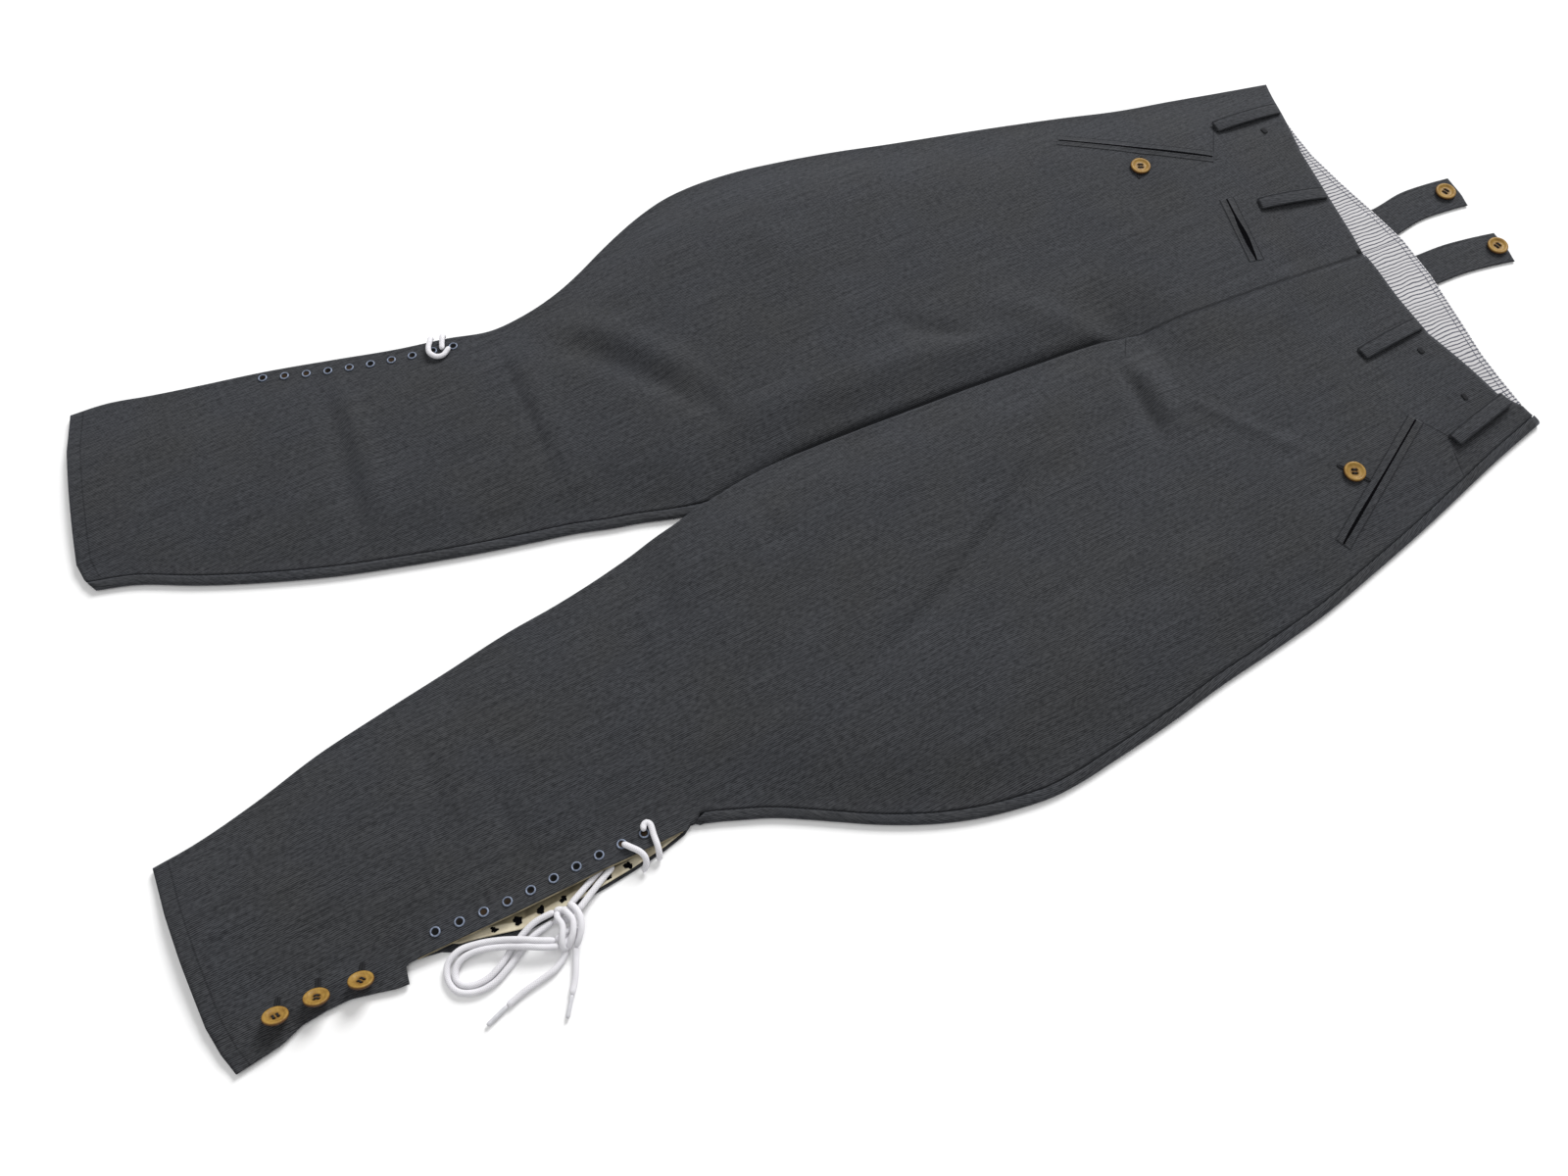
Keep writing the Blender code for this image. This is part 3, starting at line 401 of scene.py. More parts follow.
# Fronts
# Two panels of slate wool twill. Each wraps under its side or inseam edge, where it was pressed,
# and the left one laps over the right at the fly and at the inside of the leg. The left one ends
# free along the calf slit and is buttoned down as a flap at the hem. Tables are in millimetres
# from the fly line and the knee's crease.
GAP = 0.3
CLOTH = 1.5
EDGE_RADIUS = 2.4
SEAM_ROLL = 5.0
EDGE_HEIGHT = 2 * EDGE_RADIUS
WRAP = math.pi * EDGE_RADIUS + SEAM_ROLL
RIGHT_OUTER, RIGHT_INNER, LEFT_INNER, LEFT_OUTER, CROWN = range(1, 6)
OUTLINE = np.array((
    (-275, -270.5, -111.0, 111.5, 256.0, 4.0), (-250, -270.5, -105.0, 107.5, 252.0, 4.5),
    (-200, -264.0, -85.5, 94.5, 243.0, 5.0), (-150, -257.5, -68.0, 78.0, 241.0, 5.5),
    (-100, -250.0, -52.0, 65.5, 239.5, 6.0), (-50, -240.0, -39.5, 54.0, 237.5, 6.0),
    (0, -229.5, -28.5, 42.0, 234.5, 6.0), (40, -223.5, -21.0, 35.0, 231.0, 6.5),
    (75, -216.7, -14.7, 27.0, 230.2, 7.0), (100, -220.0, -8.3, 20.2, 238.0, 8.0),
    (120, -225.5, -4.3, 15.0, 245.3, 8.8), (140, -233.5, 1.0, 10.5, 255.3, 9.5),
    (160, -244.0, 5.5, 4.3, 266.0, 10.2), (180, -256.0, 8.0, 0.2, 276.6, 11.0),
    (200, -267.2, 9.0, -4.4, 285.8, 11.6), (225, -279.2, 9.4, -8.0, 295.2, 12.4),
    (250, -287.9, 9.5, -9.4, 301.8, 13.0), (275, -291.8, 9.5, -10.0, 305.8, 13.4),
    (300, -292.5, 9.5, -10.3, 307.8, 13.5), (325, -291.1, 9.4, -10.5, 305.8, 13.5),
    (350, -287.9, 9.2, -10.5, 301.8, 13.4), (400, -279.2, 9.0, -10.3, 293.2, 12.6),
    (450, -267.9, 8.6, -9.3, 282.6, 11.4), (500, -257.3, 8.0, -8.0, 273.9, 10.2),
    (545, -247.6, 8.0, -3.2, 265.0, 9.5), (600, -234.7, 8.0, -1.8, 249.9, 9.0),
    (650, -222.1, 8.0, -0.8, 235.3, 9.0), (700, -213.5, 8.0, 0.8, 219.4, 8.8),
    (740, -206.2, 8.0, 2.2, 206.7, 8.4), (790, -197.3, 8.0, 4.0, 192.5, 8.0),
))
WAIST, WAIST_BEND, HEM, HEM_BEND = 790, 640, -275, -135
FRONT_WAIST = np.array((
    (-198, 785), (-175, 778.5), (-153, 773), (-112, 763), (-62, 757), (-17, 752), (5, 748.5),
    (57, 749.5), (91, 751), (125, 760.5), (159, 770), (175, 783), (192, 787),
))
BACK_WAIST = np.array((
    (-198, 785), (-165, 778.5), (-110, 777), (-75, 780.5), (-38, 787.5), (0, 793.5), (40, 793),
    (80, 788.5), (121, 785), (166, 785.5), (192, 787),
))
HEMS = np.array((
    (-271, -249), (-235, -258), (-200, -263), (-164, -267.5), (-135, -271), (-121, -268.5),
    (-111, -263), (0, -267), (111, -271), (148, -270), (183, -267.5), (229, -263),
    (248, -258.5), (263, -253),
))
SIDE_REACH, INSIDE_REACH = 38, 32
CROTCH_DIP, CROTCH_WRAP = (592, 522), (540, 512)
LAP_START, LAP_FALL, LAP_RISE, LAP_END = (572, 545), (4.0, 20.0), (548, 520), (95, 140)
LAP_HEIGHT, LAP_REACH = EDGE_HEIGHT + 0.7, 60
FLY_UNDERLAP, FLY_TAPER, FLY_RISE, FLY_STEP_SPAN = 14, (545, 575), (524, 540), (38, 2)
FLY_STEP = CLOTH + GAP + 0.2
CROTCH_EASE = 1.4
SLIT_TOP = (76, 66)
FRONT_EDGE, BACK_EDGE, OPEN = 1, 2, 3
SLIT = np.array((
    (-275, 263.0, 259.0, -1.3), (-239, 257.0, 253.0, -1.3), (-219, 250.5, 246.5, -1.3),
    (-199, 248.0, 244.0, -1.3), (-179, 247.0, 243.0, -1.3), (-160, 250.0, 246.0, -1.3),
    (-147, 252.5, 244.0, -1.2), (-138, 253.0, 239.5, -1.0), (-137, 241.4, 239.3, -0.5),
    (-134, 240.5, 238.5, 0.3), (-113, 239.8, 241.0, 1.6), (-100, 239.5, 247.0, 2.6),
    (-80, 238.8, 249.4, 3.6), (-60, 238.0, 251.0, 4.6), (-40, 237.0, 249.0, 5.2),
    (-20, 236.0, 246.5, 5.8), (0, 234.5, 244.0, 6.0), (20, 233.5, 241.0, 4.4),
    (45, 231.5, 236.0, 1.8), (66, 229.3, 229.6, 0.0),
))
SLIT_REACH, FLAP_REACH = 24.0, 7.0

# Creases of the fronts, each from one end to the other: how far it bows to its left, its width,
# its height (a trough is negative) and how much higher its left side stands than its right
CREASES = np.array((
    (-227, -62, -54, -77, 4, 9, -1.5, 0.6), (-227, -49, -60, -58, 3, 10, 1.5, 0.0),
    (-208, 90, -54, 88, -3, 12, 1.4, 0.0), (-205, 71, -60, 74, 3, 4.5, -1.0, 0.3),
    (-71, 198, -189, 103, -6, 12, -2.0, 0.8), (-95, 213, -205, 122, -6, 13, 1.7, 0.0),
    (-90, 207, -51, 207, 0, 7, -0.9, 0.2), (-10, 512, -78, 442, -5, 14, 1.4, 0.0),
    (-36, 470, -50, 200, -6, 15, 1.9, 0.0), (-13, 470, -22, 240, -4, 9, -1.1, 0.0),
    (-48, 424, -88, 365, 4, 9, -1.3, 0.4), (-52, 118, -33, 103, 0, 7, -0.9, 0.0),
    (-37, 563, -3, 545, 1, 4, -0.8, 0.2), (-215, 300, -160, 330, 4, 22, 0.9, 0.0),
    (-120, 560, -60, 470, 6, 20, -0.8, 0.0), (-160, -120, -90, -150, 4, 16, -0.6, 0.2),
    (18, 512, 94, 506, 2, 7, -2.5, 0.6), (20, 527, 88, 523, 2, 9, 1.3, 0.0),
    (58, 424, 176, 227, 9, 5, -1.9, 0.9), (66, 430, 184, 228, 9, 18, -0.9, 0.6),
    (67, 543, 156, 612, -3, 6, 0.9, 0.2), (27, 123, 91, 104, 2, 10, -1.4, 0.5),
    (66, 89, 135, 74, 1, 8, -0.7, 0.2), (8, 204, 57, 204, 0, 6, -0.9, 0.2),
    (154, -44, 228, -39, -2, 9, -1.3, 0.5), (95, -84, 184, -84, 2, 10, -1.2, 0.4),
    (65, -54, 86, -49, 0, 6, -0.8, 0.1), (99, -178, 144, -193, 2, 9, -0.7, 0.2),
    (238, -134, 214, -250, 5, 8, -0.9, 0.3), (205, -150, 236, -158, 2, 4, 0.5, 0.2),
    (203, -185, 234, -190, -2, 4, 0.5, 0.2), (204, -222, 234, -217, -2, 5, 0.5, 0.2),
    (190, 420, 250, 330, 8, 24, 0.9, 0.0), (110, 660, 150, 590, -5, 16, -0.7, 0.2),
    (-20, 740, -8, 690, 2, 9, -0.8, 0.2), (-165, 640, -110, 600, 4, 14, -0.6, 0.2),
))
CREASE_DEPTH = 1.95
GROOVE_SHARE, GROOVE_REACH, GROOVE_START, GROOVE_END = 0.62, 5.0, (535, 505), (120, 300)
SEAM_LIFT, SEAM_LIFT_WIDTH, SEAM_MARK = 0.15, 2.2, 1.3
BUTTON_DENTS = np.array((
    (241.5, -164.6, 9.0, -0.6), (240.5, -193.4, 9.0, -0.6), (241.5, -220.1, 9.0, -0.6),
    (-151.5, 629.5, 14.0, -0.7), (176.0, 624.5, 14.0, -0.7),
))


def smooth(start, end, at):
    """t*t*(3 - 2*t), with t from 0 at start to 1 at end."""
    t = np.clip((np.asarray(at, dtype=float) - start) / (end - start), 0.0, 1.0)
    return t * t * (3.0 - 2.0 * t)


def column(table, number, at):
    """Cubic Hermite curve through one column of a table, along its first column."""
    along, value = table[:, 0], table[:, number]
    slope = np.gradient(value, along)
    at = np.asarray(at, dtype=float)
    i = np.clip(np.searchsorted(along, at) - 1, 0, len(along) - 2)
    step = along[i + 1] - along[i]
    t = np.clip((at - along[i]) / step, 0.0, 1.0)
    return ((2 * t**3 - 3 * t**2 + 1) * value[i] + (t**3 - 2 * t**2 + t) * step * slope[i]
            + (3 * t**2 - 2 * t**3) * value[i + 1] + (t**3 - t**2) * step * slope[i + 1])


def straight(table, number, at):
    """Straight runs through one column of a table."""
    return np.interp(at, table[:, 0], table[:, number])


def rise(distance, flat, reach):
    """1 - exp(-t**1.6), where t is the distance past the flat part over the reach."""
    return 1.0 - np.exp(-(np.maximum(distance - flat, 0.0) / reach) ** 1.6)


def left_inner(y):
    return column(OUTLINE, LEFT_INNER, y)


def right_inner(y):
    """Butts on the left leg above the crotch, runs under it below."""
    lap = smooth(*LAP_START, y)
    return (left_inner(y) - GAP) * (1 - lap) + column(OUTLINE, RIGHT_INNER, y) * lap


def lap_height(y):
    """How far the right leg carries the left leg's inside edge above the floor."""
    return LAP_HEIGHT * smooth(*LAP_RISE, y) * smooth(*LAP_END, y)


def underlap_end(y):
    return right_inner(y) - EDGE_RADIUS - GAP + FLY_UNDERLAP * smooth(*FLY_TAPER, y)


def creases(x, y):
    """Sum of (height + lean*a)*exp(-a*a), a being the distance across over the width, and the
    dents under the buttons."""
    total = np.zeros(np.shape(x))
    for x0, y0, x1, y1, bow, width, height, lean in CREASES:
        length, ux, uy = heading(x0, y0, x1, y1)
        t = ((x - x0) * ux + (y - y0) * uy) / length
        across = (y - y0) * ux - (x - x0) * uy - 4 * bow * t * (1 - t)
        a = across / (width * (0.75 + 0.5 * np.clip(t, 0, 1)))
        fade = smooth(-0.18, 0.3, t) * smooth(1.18, 0.65, t)
        total = total + CREASE_DEPTH * (height + lean * a) * np.exp(-a * a) * fade
    for x0, y0, width, height in BUTTON_DENTS:
        total = total + height * np.exp(-((x - x0) ** 2 + (y - y0) ** 2) / width ** 2)
    return total


def front_top(x, y, leg):
    """Edge height + lift over the other leg + crown * climb from the edges + creases. The right
    one climbs steeply out of the groove beside the left leg."""
    x, y = np.broadcast_arrays(np.asarray(x, float), np.asarray(y, float))
    left_edge, right_edge = left_inner(y), right_inner(y)
    parted = smooth(*CROTCH_DIP, y)
    side = (rise(x - column(OUTLINE, RIGHT_OUTER, y), EDGE_RADIUS, SIDE_REACH)
            * rise(column(OUTLINE, LEFT_OUTER, y) - x, EDGE_RADIUS + SEAM_ROLL, SIDE_REACH))
    if leg == "right":
        flat = np.maximum(EDGE_RADIUS + SEAM_ROLL, right_edge - left_edge + 3)
        steep = GROOVE_SHARE * smooth(*GROOVE_START, y) * smooth(*GROOVE_END, y)
        inside = ((1 - steep) * rise(right_edge - x, flat, INSIDE_REACH)
                  + steep * rise(right_edge - x, flat - 3, GROOVE_REACH))
        lift = 0.0
    else:
        inside = rise(x - left_edge, EDGE_RADIUS, INSIDE_REACH)
        lift = lap_height(y) * np.exp(-((x - left_edge) / LAP_REACH) ** 2)
    shape = side * (1 - parted + parted * inside)
    return EDGE_HEIGHT + lift + shape * (column(OUTLINE, CROWN, y) + creases(x, y))


def left_front_top(x, y):
    """The left front also steps over the fly's underlap and stands open along the slit."""
    x, y = np.broadcast_arrays(np.asarray(x, float), np.asarray(y, float))
    far, near = FLY_STEP_SPAN
    end = underlap_end(y)
    underlap = smooth(end + far, end + near, x) * smooth(*FLY_RISE, y)
    opening = straight(SLIT, OPEN, y) * (y < SLIT_TOP[1])
    reach = np.where(opening > 0, SLIT_REACH, FLAP_REACH)
    edge = opening * np.exp(-(np.maximum(straight(SLIT, BACK_EDGE, y) - x, 0) / reach) ** 2)
    return front_top(x, y, "left") + FLY_STEP * underlap + edge


def right_front_top(x, y):
    return front_top(x, y, "right")


def wrap(walked):
    """Round a pressed edge of radius r: inward r(1 - sin a), height r(1 - cos a)."""
    angle = np.clip(walked - SEAM_ROLL, 0, math.pi * EDGE_RADIUS) / EDGE_RADIUS
    inward = EDGE_RADIUS * (1 - np.sin(angle)) + np.maximum(SEAM_ROLL - walked, 0)
    return inward + np.maximum(walked - WRAP, 0), EDGE_RADIUS * (1 - np.cos(angle))


def bend_ends(x, y, waist):
    """Bends the straight sections near the waist and the hems to their real lines."""
    to_waist = smooth(WAIST_BEND, WAIST, y) * (np.interp(x, *waist.T) - WAIST)
    to_hem = smooth(HEM_BEND, HEM, y) * (np.interp(x, *HEMS.T) - HEM)
    return y + to_waist + to_hem


def cloth_grid(name, grid, thickness, material, inward=-1.0, along=None, sewn=None):
    """A wall of cloth from rows by columns of points. Its UV map is in metres over the cloth:
    U is the length walked across from the middle column, V the length along the rows. Sewn says
    how near each point is to a sewn edge, from 0 to 1."""
    rows, columns = grid.shape[:2]
    faces = corners_of(np.arange(rows * columns).reshape(rows, columns))
    step = np.linalg.norm(np.diff(grid, axis=1), axis=2)
    across = np.concatenate([np.zeros((rows, 1)), np.cumsum(step, axis=1)], axis=1)
    across = across - across[:, columns // 2][:, None] + grid[:, columns // 2, 0][:, None]
    if along is None:
        along = walk(grid[:, columns // 2])
    flat = pairs(across, along[:, None]) * MM
    piece = new_piece(name, grid, faces, flat.reshape(-1, 2)[faces.reshape(-1)], material)
    if sewn is not None:
        mark = piece.data.attributes.new("sewn", "FLOAT", "POINT")
        mark.data.foreach_set("value", np.asarray(sewn).ravel())
    thicken(piece, thickness, inward)
    return piece


# Rows of the panels, 3 mm apart, closer at the flap's corner
LEVELS = np.unique(np.concatenate([
    np.linspace(HEM, -138, 46), (-137.0,), np.linspace(-134, WAIST, 310),
]))
ACROSS = np.linspace(0, 1, 122)
ACROSS = ACROSS - 0.45 * np.sin(math.tau * ACROSS) / math.tau
ROUND = np.concatenate([(0.0, 2.5), np.linspace(SEAM_ROLL, WRAP, 8)])


def twill_group():
    """Steep twill: ribs 4 degrees off the cloth's length, uneven yarns and slubs along them."""
    tree, start, end = new_group("steep twill", ["Cloth"], {"Rib": 0.0013},
                                 ["Shade", "Height", "Tint"])
    turned = add(tree, "Mapping", {"Vector": start.outputs["Cloth"],
                                   "Rotation": (0.0, 0.0, math.radians(-4))})
    stray = noise(tree, turned.outputs[0], 160.0, 1.0)
    parts = add(tree, "SeparateXYZ", [turned.outputs[0]])
    shift = maths(tree, "MULTIPLY", stray, 0.0009)
    moved = maths(tree, "ADD", parts.outputs[0], shift)
    phase = maths(tree, "DIVIDE", moved, start.outputs["Rib"])
    wave = maths(tree, "MULTIPLY", phase, math.tau)
    ribs = maths(tree, "SINE", wave)
    yarn = add(tree, "Mapping", {"Vector": turned.outputs[0], "Scale": (860.0, 230.0, 1.0)})
    grain = noise(tree, yarn.outputs[0], 1.0)
    long = add(tree, "Mapping", {"Vector": turned.outputs[0], "Scale": (900.0, 18.0, 1.0)})
    slubs = noise(tree, long.outputs[0], 1.0, 1.5)
    drift = noise(tree, start.outputs["Cloth"], 13.0)
    rough = maths(tree, "MULTIPLY_ADD", slubs, 0.62, grain)
    height = maths(tree, "MULTIPLY_ADD", ribs, 0.22, rough)
    shade = span(tree, height, 0.55, 1.07, 0.0, 1.0)
    tint = span(tree, drift, 0.4, 0.75, 0.0, 0.8)
    tree.links.new(shade, end.inputs["Shade"])
    tree.links.new(height, end.inputs["Height"])
    tree.links.new(tint, end.inputs["Tint"])
    return tree


def seam_group():
    """How near a point is to a straight seam between two places: 1 on it, 0 past its width."""
    tree, start, end = new_group("seam line", ["Place", "Start", "End"], {"Width": 0.0009},
                                 ["Mask"])
    flat = add(tree, "VectorMath", [start.outputs["Place"], (1.0, 1.0, 0.0)],
               operation="MULTIPLY")
    away = add(tree, "VectorMath", [flat.outputs[0], start.outputs["Start"]],
               operation="SUBTRACT")
    run = add(tree, "VectorMath", [start.outputs["End"], start.outputs["Start"]],
              operation="SUBTRACT")
    along = add(tree, "VectorMath", [away.outputs[0], run.outputs[0]], operation="DOT_PRODUCT")
    whole = add(tree, "VectorMath", [run.outputs[0], run.outputs[0]], operation="DOT_PRODUCT")
    share = maths(tree, "DIVIDE", along.outputs["Value"], whole.outputs["Value"], clamp=True)
    foot = add(tree, "VectorMath", [run.outputs[0]], operation="SCALE")
    tree.links.new(share, foot.inputs["Scale"])
    off = add(tree, "VectorMath", [away.outputs[0], foot.outputs[0]], operation="DISTANCE")
    near = maths(tree, "DIVIDE", off.outputs["Value"], start.outputs["Width"], clamp=True)
    mask = maths(tree, "SUBTRACT", 1.0, near)
    tree.links.new(mask, end.inputs["Mask"])
    return tree


twill, seam_line = twill_group(), seam_group()


def twill_material(name, seams=(), lines=()):
    """Slate twill with a few straight dark lines, seams and painted shade along overlapped edges
    (start and end in table millimetres, and half the line's width), level lines, stitching and
    painted edge shade (the cloth's axis, how far along it, half the width and how dark) and a
    dark line at a sewn edge."""
    material, tree, shader = finish_of(name, 0.88, sheen=0.12, specular=0.25)
    shader.inputs["Sheen Roughness"].default_value = 0.5
    shader.inputs["Sheen Tint"].default_value = (0.75, 0.8, 0.95, 1.0)
    where = add(tree, "TexCoord")
    weave = add(tree, "Group", node_tree=twill)
    tree.links.new(where.outputs["UV"], weave.inputs["Cloth"])
    height, shade = weave.outputs["Height"], weave.outputs["Shade"]
    dark = add(tree, "Attribute", attribute_name="sewn").outputs["Fac"]
    for (x0, y0), (x1, y1), half in seams:
        line = add(tree, "Group", node_tree=seam_line)
        line.inputs["Width"].default_value = half * MM
        tree.links.new(where.outputs["Object"], line.inputs["Place"])
        line.inputs["Start"].default_value = place((x0, y0, 0))
        line.inputs["End"].default_value = place((x1, y1, 0))
        dark = maths(tree, "MAXIMUM", dark, line.outputs[0])
    on_cloth = add(tree, "SeparateXYZ", [where.outputs["UV"]])
    for axis, level, half, share in lines:
        on_line = maths(tree, "COMPARE", on_cloth.outputs[axis], level * MM, half * MM)
        faint = maths(tree, "MULTIPLY", on_line, share)
        dark = maths(tree, "MAXIMUM", dark, faint)
    # Seams, stitching and the painted shade lines sink the relief and dim the colour.
    sunk = maths(tree, "MULTIPLY_ADD", dark, -0.6, height)
    dimmed = maths(tree, "MULTIPLY_ADD", dark, -0.8, shade, clamp=True)
    height, shade = sunk, dimmed
    cool = blend(tree, shade, (0.008, 0.0087, 0.0107), (0.0525, 0.055, 0.0615))
    warm = blend(tree, shade, (0.009, 0.0093, 0.01), (0.053, 0.0535, 0.054))
    mixed = blend(tree, weave.outputs["Tint"], cool, warm)
    surface(tree, shader, mixed, height, 0.5, 0.0004)
    return material


LIP, MOUTH, WELT_MARK, FLY_END_SHADOW = 5.2, 0.8, 0.9, 0.8
POCKETS = {
    "right_pocket": ((-208.7, 582.0), (-135.7, 691.5), 0.9, 0.75),
    "left_pocket": ((223.6, 585.0), (154.3, 695.4), 1.2, 0.22),
    "watch_pocket": ((-91.4, 676.7), (-25.3, 664.8), 3.2, 0.62),
}


def welt_seams(name):
    """The two seams along a pocket's welts, each as a start, an end and half its width."""
    start_of, end_of = np.array(POCKETS[name][:2])
    run = (end_of - start_of) / math.dist(start_of, end_of)
    aside = np.array((-run[1], run[0])) * (MOUTH / 2 + LIP + 0.6)
    return [(start_of + sign * aside, end_of + sign * aside, WELT_MARK) for sign in (-1, 1)]


# The fly's edge: a dark line of painted shadow on the right front beside it, and painted shade
# over the left front's edge, running on towards the groove.
FLY_LINE = ((5.2, 752.0), (2.6, 690.0), (0.2, 592.0), (-0.8, 546.0), (-7.0, 515.0))


def fly_edge_shadow(shift, half):
    """Painted shadow: the dark line under the fly's edge, moved across by some millimetres."""
    line = np.array(FLY_LINE) + (shift, 0.0)
    return [(start_of, end_of, half if number < 3 else FLY_END_SHADOW)
            for number, (start_of, end_of) in enumerate(zip(line, line[1:]))]


HEM_TURNING, GROOVE_SHADE_HALF = 10.5, 1.9
# Painted shade: a dark line on the right front down the groove beside the left leg's inside edge.
GROOVE_LINE = ((-10.0, 512.0), (-11.5, 470.0), (-13.0, 396.0), (-13.0, 297.0), (-11.5, 248.0),
               (-5.0, 190.0), (3.0, 152.0))
groove_shade_lines = [(*ends, GROOVE_SHADE_HALF) for ends in zip(GROOVE_LINE, GROOVE_LINE[1:])]
# Each front's dark lines: seams, the painted shadow at the fly's edge and, on the right, the
# painted shade down the groove.
right_seams_and_shade = [((-137.8, 692.5), (-166.8, 711.0), 0.9), ((-208.7, 578.0), (-203.0, 590.0), 0.9),
               ((-135.5, 686.5), (-131.0, 696.0), 0.9)] + fly_edge_shadow(-2.2, 2.0)
right_seams_and_shade += groove_shade_lines + welt_seams("right_pocket") + welt_seams("watch_pocket")
left_seams_and_shade = [((157.0, 697.0), (178.0, 712.0), 0.9), ((189.0, 708.0), (215.0, 703.0), 0.9),
              ((-5.0, 533.0), (13.0, 521.0), 0.8)] + fly_edge_shadow(0.7, 2.0)
left_seams_and_shade += welt_seams("left_pocket")
hem_rows = ((1, HEM + HEM_TURNING, 0.7, 0.4),)
right_twill = twill_material("slate twill, right front", right_seams_and_shade, hem_rows)
left_twill = twill_material("slate twill, left front", left_seams_and_shade, hem_rows)

rows, marks = [], []
for y in LEVELS:
    wrapped = float(smooth(*CROTCH_WRAP, y))
    edge = float(column(OUTLINE, RIGHT_OUTER, y))
    inward, height = wrap(ROUND)
    start = edge + EDGE_RADIUS
    lip = float(right_inner(y)) - EDGE_RADIUS - max(0.0, wrapped * WRAP - WRAP + SEAM_ROLL)
    end = float(underlap_end(y))
    if wrapped > 0:
        end = lip - GAP - CROTCH_EASE * 4 * wrapped * (1 - wrapped)
    top_x = (start + (end - start) * ACROSS)[1:]
    up = SEAM_LIFT * wrapped * np.exp(-((end - top_x) / SEAM_LIFT_WIDTH) ** 2)
    x = np.concatenate([edge + inward, top_x])
    z = np.concatenate([height, right_front_top(top_x, y) + up])
    marks.append(wrapped * np.exp(-((end - x) / SEAM_MARK) ** 2))
    rows.append(np.stack([x, bend_ends(x, y, FRONT_WAIST), z], axis=-1))
right_front = cloth_grid("right_front_cloth", np.array(rows), CLOTH, right_twill, along=LEVELS,
                         sewn=marks)
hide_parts("right_front")

rows, marks = [], []
for y in LEVELS:
    wrapped = float(smooth(*CROTCH_WRAP, y))
    edge = float(left_inner(y))
    walked = (1 - wrapped) * WRAP + ROUND
    inward, height = wrap(walked)
    x = edge + inward
    edge_top = float(left_front_top(edge + EDGE_RADIUS, y))
    z = np.where(walked > WRAP - 0.001, left_front_top(x, y), edge_top - EDGE_HEIGHT + height)
    side = 0.0
    if y <= SLIT_TOP[1]:
        end = float(straight(SLIT, FRONT_EDGE, y))
    else:
        side = float(smooth(SLIT_TOP[1], SLIT_TOP[0], y))
        end = float(column(OUTLINE, LEFT_OUTER, y)) - EDGE_RADIUS - GAP
        end -= max(0.0, side * WRAP - WRAP + SEAM_ROLL)
    top_x = (x[-1] + (end - x[-1]) * ACROSS)[1:]
    up = SEAM_LIFT * side * np.exp(-((end - top_x) / SEAM_LIFT_WIDTH) ** 2)
    x = np.concatenate([x, top_x])
    z = np.concatenate([z, left_front_top(top_x, y) + up])
    marks.append(side * np.exp(-((end - x) / SEAM_MARK) ** 2))
    rows.append(np.stack([x, bend_ends(x, y, FRONT_WAIST), z], axis=-1))
left_front = cloth_grid("left_front_cloth", np.array(rows), CLOTH, left_twill, along=LEVELS,
                        sewn=marks)
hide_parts("left_front")

# Backs
# Two panels of the same twill under the fronts, sewn to them at the sides and inseams and to each
# other at the seat. Each rolls up over a front's edge by 5 mm where the photograph shows the seam
# on top. They lie flat, lifted a little at the waist by the tabs sewn on below.
TAB_THICKNESS = 2.0
TAB_LIFT_MIDDLE, TAB_LIFT_HALF, TAB_LIFT_FALL, TAB_LIFT_RISE = 5, 138, 56, (728, 752)
LAP_GRID = np.array((0.0, 6.0, 12.0, 15.0, 18.0, 21.0, 24.0, 27.5, 31.0))


def tab_lift(x, y):
    """The lift by the tabs: flat over their middle and down to 0 at the sides and below."""
    across = np.clip((TAB_LIFT_HALF - np.abs(x - TAB_LIFT_MIDDLE)) / TAB_LIFT_FALL, 0, 1)
    return (TAB_THICKNESS + 2 * GAP) * across * smooth(*TAB_LIFT_RISE, y)


def back_bottom(x, y):
    """The left back's underside, over the right leg's edge and down to the floor."""
    return lap_height(y) * (1 - smooth(*LAP_FALL, x - right_inner(y)))


plain_twill = twill_material("slate twill")
BACK_LEVELS = np.unique(np.concatenate([LEVELS[:46:2], (-138.0, -137.0), LEVELS[46::2],
                                        (float(WAIST),)]))
rows = []
for y in BACK_LEVELS:
    wrapped = float(smooth(*CROTCH_WRAP, y))
    start = float(column(OUTLINE, RIGHT_OUTER, y)) + EDGE_RADIUS + SEAM_ROLL + GAP
    inward, height = wrap((1 - wrapped) * WRAP + ROUND)
    end_x, end_z = float(right_inner(y)) - inward, EDGE_HEIGHT - height
    flat_x = start + (end_x[-1] - start) * np.linspace(0, 0.985, 44)
    x = np.concatenate([flat_x, end_x[::-1]])
    z = np.concatenate([np.zeros(len(flat_x)), end_z[::-1]])
    rows.append(np.stack([x, bend_ends(x, y, BACK_WAIST), z + tab_lift(x, y)], axis=-1))
right_back = cloth_grid("right_back_cloth", np.array(rows), CLOTH, plain_twill, inward=1.0,
                        along=BACK_LEVELS)
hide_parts("right_back")

